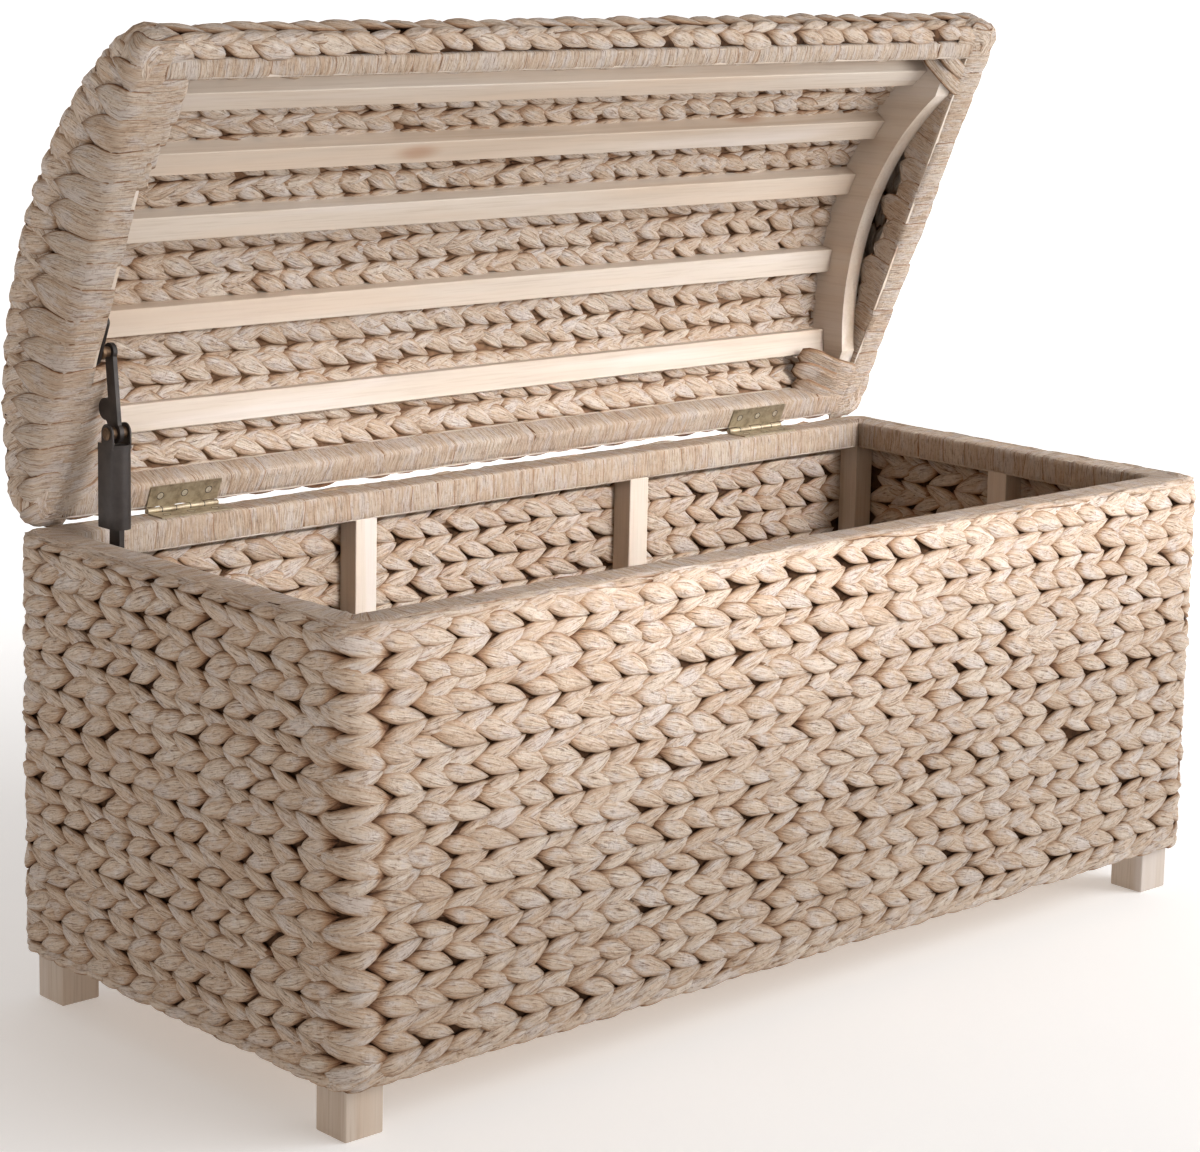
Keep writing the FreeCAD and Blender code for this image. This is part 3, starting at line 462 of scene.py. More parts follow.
def inner_lobes(which):
    lb = Lobes()
    if which in ("back", "front"):
        a, b = -X1 + 17, X1 - 17
    else:
        a, b = YF + 17, YB - 17
    for k in range(ROWS - 1):
        row(lb, a, b, 25 + 9 + PITCH_T * (k + .5), 1, first=rng.uniform(16, 40), hs=.92, ua=-20, la=16)
    return lb


def lid_lobes():
    lb = Lobes()
    n = 19
    pt = (LID_PROFILE.length + 1) / n
    for k in range(n + 1):
        row(lb, -LID_X + 6, LID_X - 5, pt * k + 1.5, 1, first=rng.uniform(18, 46), low=k > 0, up=k < n, keep=5)
    return lb


SLAT_V = (395, 318, 245, 152, 65)


def lid_inner_lobes():
    lb = Lobes()
    pt = 25.0
    for k in range(-9, 10):
        t = (k + .35) * pt
        if abs(t) < math.radians(35.6) * DOME_RI:
            row(lb, -512, 506, t, 1, pitch=31, sc=.97, first=rng.uniform(16, 40), hs=.95, n_add=8.5, ua=-21, la=16)
    return lb


def lid_end_inner_lobes():
    """Plaits on the inner side of the lid's ends, above the rim."""
    lb = Lobes()
    for h in (38, 64, 86):
        half = math.sqrt(max(DOME_RI ** 2 - (h + 8 - DOME_H) ** 2, 0)) - 6
        if half > 30:
            row(lb, DOME_V - half, DOME_V + half, h, 1, pitch=33, sc=.9, first=rng.uniform(16, 36), hs=.7)
    return lb


def make_lid_end_in(sign):
    def f(s, t, n):
        return lid_place(sign * (LID_X - 12.0 - n), s, t)
    return f


def arc_lobes(edge):
    """Outer plait of the lid's end: crossing strands between the petals and the arched edge, and strands over the edge."""
    lb = Lobes()
    half = math.radians(36.4) * DOME_R

    def put(s, t, ang, L, W, H, n0, **kw):
        # near the arch's two ends a strand stops above the rim
        a = math.radians(ang)
        t_min = (12 - DOME_H) / math.cos(s / DOME_R) - (DOME_R - 50)
        cut = t_min - (t - L / 2 * abs(math.sin(a)))
        if cut > 0:
            L = L - cut / abs(math.sin(a))
            s, t = s + cut / 2 * math.cos(a) / math.sin(a), t + cut / 2
        if L > 20:
            lb.add(s, t, ang, L, W, H, n0, -8, 2, 1, **kw)

    p = -half + 10
    while p < half - 6:
        r = rng.normal(0, 1, 18)
        put(p + 6, 8 + 1.5 * r[12], 84 + 4 * r[13], 44, 12.5, 4.2, -7.0, dip=2.0, tail_shade=.4)
        put(p, 24 + 1.5 * r[0], 81 + 4 * r[1], 56 * (1 + .05 * r[2]), 11.0 * (1 + .06 * r[3]), 5.6, -6.2, dip=2.5, bend=1.5 * r[4], tail_shade=.8)
        put(p + 13, 27 + 1.5 * r[5], -63 + 4 * r[6], 60 * (1 + .05 * r[7]), 11.6 * (1 + .06 * r[8]), 6.0, -5.0, dip=3.0, bend=1.5 * r[9], tail_shade=.8)
        put(p + 5, 54 + 1.5 * r[10], -72 + 4 * r[11], 54 * rng.uniform(.93, 1.07), 12.4 * rng.uniform(.93, 1.07), 5.2, -5.0, dip=2.5)
        put(p + 18, 62 + 1.5 * r[14], -76 + 4 * r[15], 52 * rng.uniform(.93, 1.07), 11.0 * rng.uniform(.93, 1.07), 5.0, -6.2, dip=2.5, tail_shade=.6)
        put(p - 2, 38 + 1.5 * r[16], 74 + 4 * r[17], 50, 10.0, 4.6, -7.2, dip=2.0, tail_shade=.6)
        p += 25.5 * rng.uniform(.95, 1.05)
    return lb


def make_lid_corner(sx, front_side):
    """Upright corner of the lid: s runs from the end face (negative) to the long lip (positive), t is the height above the rim."""
    prof = polyline([(7, .4)] + [(7 - 7 * math.sin(x), .4 + 7 - 7 * math.cos(x)) for x in np.linspace(0, math.pi / 2, 10)[1:]] + [(0, 46)], soft=2)
    vc, sv = (461 - LR, 1) if front_side else (-6 + LR, -1)
    q = LR * math.pi / 4

    def f(s, t, n):
        w, h, tw, th = prof(t)
        o = n * th - w
        h = h + n * tw
        r = LR + o
        a = np.clip(s / LR, -math.pi / 4, math.pi / 4) + math.pi / 4       # 0 on the end face, 90 on the lip
        ex = np.where(s > q, s - q, np.where(s < -q, s + q, 0))
        x = LID_X - LR + r * np.cos(a) - np.where(ex > 0, ex, 0)
        v = vc + sv * (r * np.sin(a) + np.where(ex < 0, ex, 0))
        return lid_place(sx * x, v, h)
    return f


def corner_lobes():
    lb = Lobes()
    for t0, an, W, nn in ((-7, 2, 8.0, -4.0), (1.5, -3, 8.5, -4.0), (11, 4, 9.0, -3.6), (20, -7, 9.4, -3.8), (28.5, 5, 8.6, -4.8)):
        lb.add(rng.uniform(-4, 4), t0 + rng.uniform(-1, 1), an + rng.uniform(-4, 4), rng.uniform(84, 98), W * rng.uniform(.95, 1.08), 4.6, nn, -8, 2, 1, dip=4.4, bend=rng.uniform(-2, 2), tail_shade=.2)
    lb.add(-24, -3.5, 8, 46, 7.5, 4.4, -4.2, -8, 2, 1, dip=3.0, tail_shade=.2)
    return lb


def arc_height(v):
    return DOME_H + math.sqrt(DOME_R ** 2 - (v - DOME_V) ** 2)


def halves(lb):
    m = len(lb.rows) // 2
    a, b = Lobes(), Lobes()
    a.rows, b.rows = lb.rows[:m], lb.rows[m:]
    return a, b


def merge_lobes(name, sets, mat, body, nodes, slot):
    parts = [lb.build(surf) for lb, surf in sets if lb.rows]
    return mesh_object(name, *merge(parts), mat, body, nodes, slot)


# ------------------------------------------------------------------ flat wound strips
class Strips:
    """Flat leaf strips laid across a profile one after another, each over the edge of the last."""
    NUU, NBB = 16, 7

    def __init__(self):
        self.rows = []

    def add(self, s0, t0, t1, skew, w, th, crown, shingle, tone=None, head=0.0, nadd=0.0, puff=0.0, fall=.5):
        self.rows.append((s0, t0, t1, skew, w, th, crown, shingle, rng.random() if tone is None else tone, head, nadd, puff, fall))

    def build(self, surf):
        R = np.array(self.rows, float)
        s0, t0, t1, skew, w, th, crown, shingle, tone, head, nadd, puff, fall = [R[:, i][:, None, None] for i in range(R.shape[1])]
        N, nu, nb = len(R), self.NUU, self.NBB
        u = np.linspace(0, 1, nu)[None, :, None]
        b1 = 1 - np.minimum(1.5 / w, .2)                       # a narrow zone along each edge
        b = np.concatenate([-1 + 0 * b1, -b1, -.55 + 0 * b1, 0 * b1, .55 + 0 * b1, b1, 1 + 0 * b1], 2)
        ph = rng.random((N, 1, 1)) * 6.28
        t = t0 + (t1 - t0) * u
        prof = np.where(head > 0, .10 + .90 * np.sin(np.pi / 2 * np.clip(u / np.maximum(head, 1e-3), 0, 1)) ** .78, 1.0)
        prof = prof * np.where(puff > 0, 1 - .75 * np.clip((u - .88) / .12, 0, 1) ** 2.2, 1.0)
        ww = w * prof * (1 + .05 * np.sin(4 * u + ph) + .03 * np.sin(11 * u + 2 * ph))
        c = s0 + np.where(puff > 0, skew * np.clip(1 - u / fall, 0, 1) ** 1.2, skew * (u - .5)) + .8 * np.sin(5 * u + ph)
        S = c + b * ww
        T = t + (1 - prof) * 0 * b
        fold = rng.normal(0, .16, (N, 1, nb)) * (1 + .6 * np.sin(6 * u + ph))
        fold[:, :, 0] = fold[:, :, -1] = 0
        leaf = 1 - smooth((u - fall * .55) / (fall * .5))
        lift = puff * leaf * (1 - np.abs(b) ** 2.2) * np.sin(np.pi * np.clip(u / fall * .62 + .12, 0, 1))
        top = nadd + th + crown * (1 - np.abs(b) ** 2.4) * (prof ** .5) + (shingle + np.where(puff > 0, 1.3 * leaf, 0)) * b + fold + lift
        bot = nadd + shingle * b - .3 + 0 * u - .5
        top = np.where(np.abs(b) > .99, top - .25, top)
        co_t = np.stack(surf(S, T, top), -1).reshape(N, -1, 3)
        co_b = np.stack(surf(S, T, bot), -1).reshape(N, -1, 3)
        co = np.concatenate([co_t, co_b], 1)
        M = nu * nb
        g = np.arange(M).reshape(nu, nb)
        q = []
        for i in range(nu - 1):
            for j in range(nb - 1):
                q.append((g[i, j], g[i + 1, j], g[i + 1, j + 1], g[i, j + 1]))
                q.append((M + g[i, j], M + g[i, j + 1], M + g[i + 1, j + 1], M + g[i + 1, j]))
            q.append((g[i, 0], M + g[i, 0], M + g[i + 1, 0], g[i + 1, 0]))
            q.append((g[i, nb - 1], g[i + 1, nb - 1], M + g[i + 1, nb - 1], M + g[i, nb - 1]))
        for j in range(nb - 1):
            q.append((g[0, j], g[0, j + 1], M + g[0, j + 1], M + g[0, j]))
            q.append((g[nu - 1, j], M + g[nu - 1, j], M + g[nu - 1, j + 1], g[nu - 1, j + 1]))
        q = np.array(q)
        m = N // 2
        c0 = co_t[m].reshape(nu, nb, 3)
        i, j = 8, 3
        up = co_t[m].reshape(nu, nb, 3)[i, j] - co_b[m].reshape(nu, nb, 3)[i, j]
        if np.dot(np.cross(c0[i + 1, j] - c0[i, j], c0[i, j + 1] - c0[i, j]), up) < 0:
            q = q[:, ::-1]
        off = (np.arange(N) * 2 * M)[:, None, None]
        # painted shade: each strip is darker along its edges and where its head starts tucked under
        dep1 = np.where(np.abs(b) > .99, .30, np.where(np.abs(b) > .75, .86, 1.0)) * np.where(head > 0, .45 + .55 * smooth(u / .12), 1)
        painted_shade = np.broadcast_to(dep1, S.shape).reshape(N, -1)
        fib = np.stack(np.broadcast_arrays((t1 - t0) * u * .001, b * w * .001, tone * 37 + 0 * u * b), -1).reshape(N, -1, 3)
        tn = np.broadcast_to(tone, S.shape).reshape(N, -1)
        d2 = lambda a: np.concatenate([a, a], 1)
        return (co.reshape(-1, 3), (q[None] + off).reshape(-1, 4), np.zeros((0, 3), int),
                {"fib": d2(fib).reshape(-1, 3), "painted_shade": d2(painted_shade).reshape(-1), "tone": d2(tn).reshape(-1)})


RIM_W0, RIM_W1 = 8.0, 40.2
RIM_PROFILE = polyline([(6, ZT - 3.2), (11, ZT - .6), (RIM_W1 - 2.6, ZT - .6)] + [(RIM_W1 - 2.6 + 2.2 * math.sin(x), ZT - 2.8 + 2.2 * math.cos(x)) for x in np.linspace(0, math.pi / 2, 8)[1:]]
                       + [(RIM_W1 - .4, 392)] + [(RIM_W1 - 2.5 + 2 * math.cos(x), 392 - 2 * math.sin(x)) for x in np.linspace(0, math.pi / 2, 6)[1:]] + [(28, 390)], soft=1.5)


def make_rim(which):
    half = X1 if which in ("front", "back") else (YB - YF) / 2

    def f(s, t, n):
        w, z, tw, tz = RIM_PROFILE(t)
        w, z = w - n * tz, z + n * tw
        # mitred corners: the strips fan in over the last 70 mm
        a = np.minimum(np.abs(s), half - 1)
        e = half - 70
        x = np.where(a > e, e + (a - e) * (70 - np.clip(w, 0, 60)) / 70, a) * np.sign(s)
        if which == "front":
            return x, YF + w, z
        if which == "back":
            return x, YB - w, z
        if which == "left":
            return -X1 + w, (YF + YB) / 2 + x, z
        return X1 - w, (YF + YB) / 2 + x, z
    return f, half


def rim_strips(which):
    f, half = make_rim(which)
    st = Strips()
    Lp = RIM_PROFILE.length
    p = -half + 2
    while p < half - 8:
        w = min(rng.uniform(8, 22), (half - 2 - p) / 2 + .5)
        p += w
        st.add(p, 3, Lp, rng.uniform(-3, 3), w * 1.06, .35, .22, .25)
        p += w - rng.uniform(.5, 1.2)
    return st.build(f)


def rim_binding():
    """Long strands laid along the outer edge of the rim, where the wall's lobes fold in."""
    lb = Lobes()
    p = 0.0
    top = WALL_PROFILE.length - 21 - 4
    while p < PER:
        lb.add(p, top + rng.uniform(-1.5, 7.5), rng.uniform(-5, 5), rng.uniform(70, 130), rng.uniform(4.0, 6.2), 2.6, -2.5, -4, 2, 1, dip=1.6, bend=rng.uniform(-2, 2))
        p += rng.uniform(15, 26)
    for c in (0.0, QA + LX, 2 * QA + LX + LY, 3 * QA + 2 * LX + LY):
        for k in range(4):
            lb.add(c + rng.uniform(-12, 12), top - 1 + 4.5 * k, rng.uniform(-6, 6), rng.uniform(80, 110), 6.5, 2.8, -2.2, -4, 2, 1, dip=1.8, bend=rng.uniform(-1, 1))
    return lb


# lid rims: back rail, front rail; both cross-wound
def make_lid_rail(v0, v1, h1):
    prof = polyline([(v0, h1 - 2), (v0, 2.8)] + [(v0 + 2.2 - 2.2 * math.cos(x), 2.8 - 2.2 * math.sin(x)) for x in np.linspace(0, math.pi / 2, 8)[1:]]
                    + [(v1 - 2.6, .6)] + [(v1 - 2.6 + 2.2 * math.sin(x), 2.8 - 2.2 * math.cos(x)) for x in np.linspace(0, math.pi / 2, 8)[1:]] + [(v1 - .4, h1 - 2.5), (v1 - 8, h1 - .5)], soft=1.2)

    def f(s, t, n):
        v, h, tv, th = prof(t)
        return lid_place(s, v + n * th, h - n * tv)
    f.length = prof.length
    return f


def lid_back_strips():
    f = make_lid_rail(1.0, 26.4, 27.4)
    st = Strips()
    p = -488.0
    while p < 470:
        w = rng.uniform(16, 44)
        w = min(w, (490 - p) / 2) if 490 - p < 2 * w + 30 else w
        p += w
        st.add(p, 0, f.length, rng.uniform(-3, 3), w * 1.03, .35, .12, .16)
        p += w - rng.uniform(.5, 1.2)
    return st.build(f)


def lid_front_strips():
    prof = polyline([(440.0, 27), (440, 2.8)] + [(440.0 - 2.2 + 2.2 * math.cos(x), 2.8 - 2.2 * math.sin(x)) for x in np.linspace(0, math.pi / 2, 8)[1:]]
                    + [(424.4, .6)] + [(424.4 - 2.2 * math.sin(x), 2.8 - 2.2 * math.cos(x)) for x in np.linspace(0, math.pi / 2, 8)[1:]] + [(422.2, 25), (430, 27)], soft=1.2)

    def f(s, t, n):
        v, h, tv, th = prof(t)
        return lid_place(s, v - n * th, h + n * tv)
    st = Strips()
    p = -492.0
    while p < 470:
        w = rng.uniform(10, 40)
        w = min(w, (494 - p) / 2) if 494 - p < 2 * w + 30 else w
        p += w
        st.add(p, 8, prof.length, rng.uniform(4, 9), w * 1.03, .35, .12, .16)
        p += w - rng.uniform(.5, 1.2)
    return st.build(f)


def lid_end_strips(sign):
    f = make_lid_end(sign)
    st = Strips()
    p = 6.0
    while p < 450:
        w = rng.uniform(12.0, 15.5)
        top = min(69, max(20, arc_height(min(max(p - 8, 0), 455)) - 33)) * rng.uniform(.92, 1.06)
        lean = -15 + 30 * np.clip((p - 365) / 80, 0, 1)
        t0 = 75 - top
        t1 = f.length - rng.choice([3, 7, 11, 16, 20])
        fall = (75 + 4 - t0) / (t1 - t0)
        st.add(p, t0, t1, lean * rng.uniform(.6, 1.3), w * 1.2, .5, .5, .35, head=.30, nadd=-.6, puff=4.6, fall=fall)
        p += 2 * w - rng.uniform(1.0, 2.2)
    return st.build(f)


# ------------------------------------------------------------------ loose leaf straps at the lid's inner corners
def ribbon(ctrl, side, w, th=.9, crown=1.2, n=20, nb=7):
    """A crowned strap along smooth control points, its width along the side vectors, with rounded ends."""
    c = np.array(ctrl, float)
    sd = np.array(side, float)
    k = np.linspace(0, len(c) - 1, n)
    i = np.clip(k.astype(int), 0, len(c) - 2)
    f = (k - i)[:, None]
    f = f * f * (3 - 2 * f) * .35 + f * .65
    pad = np.r_[c[:1] * 2 - c[1:2], c, c[-1:] * 2 - c[-2:-1]]
    p0, p1, p2, p3 = pad[i], pad[i + 1], pad[i + 2], pad[i + 3]
    pos = .5 * (2 * p1 + (p2 - p0) * f + (2 * p0 - 5 * p1 + 4 * p2 - p3) * f ** 2 + (3 * p1 - p0 - 3 * p2 + p3) * f ** 3)
    sv = sd[i] * (1 - f) + sd[i + 1] * f
    tg = np.gradient(pos, axis=0)
    tg /= np.linalg.norm(tg, axis=1)[:, None]
    sv -= (sv * tg).sum(1)[:, None] * tg
    sv /= np.linalg.norm(sv, axis=1)[:, None]
    nv = np.cross(tg, sv)
    if nv[:, 1].mean() > 0:
        nv = -nv                          # the outside of a strap looks to the front of the open trunk
    u = np.linspace(0, 1, n)
    b = np.linspace(-1, 1, nb)
    ww = w * (.45 + .55 * np.sin(np.pi / 2 * np.clip(np.minimum(u / .10, (1 - u) / .16), 0, 1)) ** .7) * (1 + .04 * np.sin(5 * u + rng.random() * 6))
    fold = rng.normal(0, .25, nb)
    fold[0] = fold[-1] = 0
    hh = th + crown * (1 - np.abs(b) ** 2.4) + fold
    top = pos[:, None] + sv[:, None] * (b[None, :] * ww[:, None])[..., None] + nv[:, None] * hh[None, :, None]
    bot = pos[:, None] + sv[:, None] * (b[None, :] * ww[:, None])[..., None] + nv[:, None] * (hh - th - .2)[None, :, None]
    co = np.concatenate([top.reshape(-1, 3), bot.reshape(-1, 3)])
    M = n * nb
    g = np.arange(M).reshape(n, nb)
    q = []
    for r in range(n - 1):
        for j in range(nb - 1):
            q.append((g[r, j], g[r + 1, j], g[r + 1, j + 1], g[r, j + 1]))
            q.append((M + g[r, j], M + g[r, j + 1], M + g[r + 1, j + 1], M + g[r + 1, j]))
        q.append((g[r, 0], M + g[r, 0], M + g[r + 1, 0], g[r + 1, 0]))
        q.append((g[r, nb - 1], g[r + 1, nb - 1], M + g[r + 1, nb - 1], M + g[r, nb - 1]))
    for j in range(nb - 1):
        q.append((g[0, j], g[0, j + 1], M + g[0, j + 1], M + g[0, j]))
        q.append((g[n - 1, j], M + g[n - 1, j], M + g[n - 1, j + 1], g[n - 1, j + 1]))
    q = np.array(q)
    v = top[n // 2, nb // 2]
    if np.dot(np.cross(top[n // 2 + 1, nb // 2] - v, top[n // 2, nb // 2 + 1] - v), nv[n // 2]) < 0:
        q = q[:, ::-1]
    length = np.linalg.norm(np.diff(pos, axis=0), axis=1).sum()
    tone = rng.random()
    fib = np.stack(np.broadcast_arrays(u[:, None] * length * .001, b[None, :] * w * .001, tone * 37 + 0 * u[:, None] * b[None, :]), -1).reshape(-1, 3)
    # painted shade: the strap is darker along its edges and toward the end that tucks into the weave
    painted_shade = np.broadcast_to(np.clip(.45 + .55 * (1 - np.abs(b) ** 9), 0, 1)[None, :] * (.6 + .4 * smooth((1 - u) / .15))[:, None], (n, nb)).reshape(-1)
    return co, q, np.zeros((0, 3), int), {"fib": np.tile(fib, (2, 1)), "painted_shade": np.tile(painted_shade, 2), "tone": np.full(2 * M, tone)}


def corner_straps(sign):
    out = []
    L3 = lambda x, v, h: np.array(lid_place(sign * x, v, h))
    vdir = L3(0, 1, 0) - L3(0, 0, 0)
    xdir = np.array([float(sign), 0, 0])
    for v0, dv, w in ((50, 20, 12.0), (34, 19, 13.0), (14, 20, 13.0)):
        lift = rng.uniform(0, .5)
        ctrl = [L3(512, v0, 3.2), L3(496, v0 + .5, 2.2), L3(484, v0 + 3, 2.4 - lift), L3(466, v0 + 8, 3.6 - lift), L3(449, v0 + 13, 12), L3(428 + rng.uniform(-6, 6), v0 + dv, 24)]
        out.append(ribbon(ctrl, [vdir] * 3 + [vdir - .2 * xdir] * 3, w))
    for v0 in (68, 88, 107, 125) if sign < 0 else ():
        ctrl = [L3(512, v0, 3.4), L3(498, v0 + .5, 2.2), L3(486, v0 + 2, 2.4), L3(474, v0 + 5, 4.0), L3(463, v0 + 8, 9.5), L3(455, v0 + 11, 18)]
        out.append(ribbon(ctrl, [vdir] * 6, 11.5 * rng.uniform(.95, 1.08)))
    for v0, g in ((334, 18), (352, 13), (372, 7), (392, 2), (412, 0)) if sign < 0 else ():
        ctrl = [L3(512, v0, 3.4), L3(499, v0, 2.3), L3(488 + g * .2, v0, 2.2), L3(479 + g * .5, v0 + 1, 2.3), L3(470 + g * .85, v0 + 2, 2.9), L3(464 + g, v0 + 3, 9)]
        out.append(ribbon(ctrl, [vdir] * 6, 11.8 * rng.uniform(.95, 1.08)))
    # leaf laid over the corners of the rim
    for v0, sv in ((461, 1), (-6, -1)):
        d2 = sv * vdir + xdir
        for off, w in ((0, 11.5), (13, 9.5)):
            ctrl = [L3(482 - off, v0 - sv * (9 + off * .8), 2.4), L3(497 - off * .7, v0 - sv * (12 + off * .7), 1.9), L3(509 - off * .6, v0 - sv * (22 + off * .6), 1.9), L3(516 - off * .7, v0 - sv * (37 + off), 2.4)]
            out.append(ribbon(ctrl, [d2] * 4, w, th=.8, crown=.8))
    for v0, w in ((386, 7.5), (403, 7.5)) if sign > 0 else ():
        lift = rng.uniform(0, .5)
        ctrl = [L3(512, v0, 3.2), L3(496, v0 + 2, 2.2), L3(485, v0 + 7, 2.4 - lift), L3(470, v0 + 16, 4.0 - lift), L3(459, v0 + 25, 13), L3(450, min(v0 + 36, 419), 22)]
        out.append(ribbon(ctrl, [vdir] * 2 + [vdir + .5 * xdir] * 2 + [vdir + .9 * xdir] * 2, w))
    return merge(out)


# ------------------------------------------------------------------ cores between the two sides of the braid, dark brown as painted shadow in the gaps
def ring_core():
    n = 400
    s = np.linspace(0, PER, n, endpoint=False)
    rows = []
    for off, z in ((-6.9, ZB + 3), (-6.9, ZT - 9), (-8.6, ZT - 9), (-8.6, ZB + 3)):
        x, y = perimeter(s, np.full(n, off))
        rows.append(np.stack([x, y, np.full(n, z)], 1))
    co = np.concatenate(rows)
    q = []
    for k in range(4):
        for i in range(n):
            j = (i + 1) % n
            q.append((k * n + i, k * n + j, ((k + 1) % 4) * n + j, ((k + 1) % 4) * n + i))
    return co, np.array(q), np.zeros((0, 3), int), {}


def lid_core():
    """Thin inner shell of the lid: dome, lips and two ends in one closed skin."""
    prof = [(441.5, 3)] + [(454, 5), (454.5, 27)] + dome_arc(DOME_R - 7, 36.0, -36.0, 40) + [(0.5, 27), (0.5, 10)]
    inner = [(v, h) for v, h in [(442.5, 5), (452.4, 7), (452.6, 26)] + dome_arc(DOME_R - 8.6, 35.9, -35.9, 40) + [(2.2, 26), (2.2, 10)]]
    n = len(prof)
    x = LID_X - 24.0
    co = []
    for sx in (-x, x):
        for v, h in prof:
            co.append(lid_place(sx, v, h))
        for v, h in inner:
            co.append(lid_place(sx, v, h))
    m = 2 * n
    q = []
    for i in range(n - 1):
        q.append((i, i + 1, m + i + 1, m + i))
        q.append((n + i, m + n + i, m + n + i + 1, n + i + 1))
        q.append((i, n + i, n + i + 1, i + 1))
        q.append((m + i, m + i + 1, m + n + i + 1, m + n + i))
    q.append((0, m, m + n, n))
    q.append((n - 1, 2 * n - 1, m + 2 * n - 1, m + n - 1))
    parts = [(np.array(co), np.array(q), np.zeros((0, 3), int), {})]
    # the two end plates, closed outlines of the lid's section
    for sx in (-1, 1):
        top = dome_arc(DOME_R - 9, 33.0, -33.0, 40)
        vv = [p[0] for p in top]
        co2 = []
        for xx in (LID_X - 6.6, LID_X - 8.4):
            for v, h in top:
                co2.append(lid_place(sx * xx, v, h))
            for v in vv:
                co2.append(lid_place(sx * xx, v, 6.0))
        k = len(top)
        q2 = []
        for i in range(k - 1):
            f = (i, i + 1, k + i + 1, k + i)
            b = tuple(2 * k + j for j in f)
            q2 += [f, b[::-1], (i, 2 * k + i, 2 * k + i + 1, i + 1), (k + i, k + i + 1, 3 * k + i + 1, 3 * k + i)]
        q2 += [(0, k, 3 * k, 2 * k), (k - 1, 3 * k - 1, 4 * k - 1, 2 * k - 1)]
        q2 = np.array(q2)
        if sx > 0:
            q2 = q2[:, ::-1]
        parts.append((np.array(co2), q2, np.zeros((0, 3), int), {}))
    return merge(parts)


def lid_back_skin():
    """Thin skin behind the plaits inside the lid, brown as painted shade in the gaps between them."""
    o, i = dome_arc(DOME_RI - 1.5, 35.6, -35.6, 50), dome_arc(DOME_RI - 3.0, 35.6, -35.6, 50)
    n = len(o)
    co = [lid_place(sx, v, h) for sx in (-488.0, 488.0) for pr in (o, i) for v, h in pr]
    m = 2 * n
    q = []
    for k in range(n - 1):
        q += [(k, k + 1, m + k + 1, m + k), (n + k, m + n + k, m + n + k + 1, n + k + 1), (k, n + k, n + k + 1, k + 1), (m + k, m + k + 1, m + n + k + 1, m + n + k)]
    q += [(0, m, m + n, n), (n - 1, 2 * n - 1, m + 2 * n - 1, m + n - 1)]
    return np.array(co), np.array(q), np.zeros((0, 3), int), {}


# ------------------------------------------------------------------ materials
def material(name):
    m = bpy.data.materials.new(name)
    m.use_nodes = True
    nt = m.node_tree
    nt.nodes.clear()
    out = nt.nodes.new("ShaderNodeOutputMaterial")
    bs = nt.nodes.new("ShaderNodeBsdfPrincipled")
    nt.links.new(bs.outputs["BSDF"], out.inputs["Surface"])
    return m, nt, bs


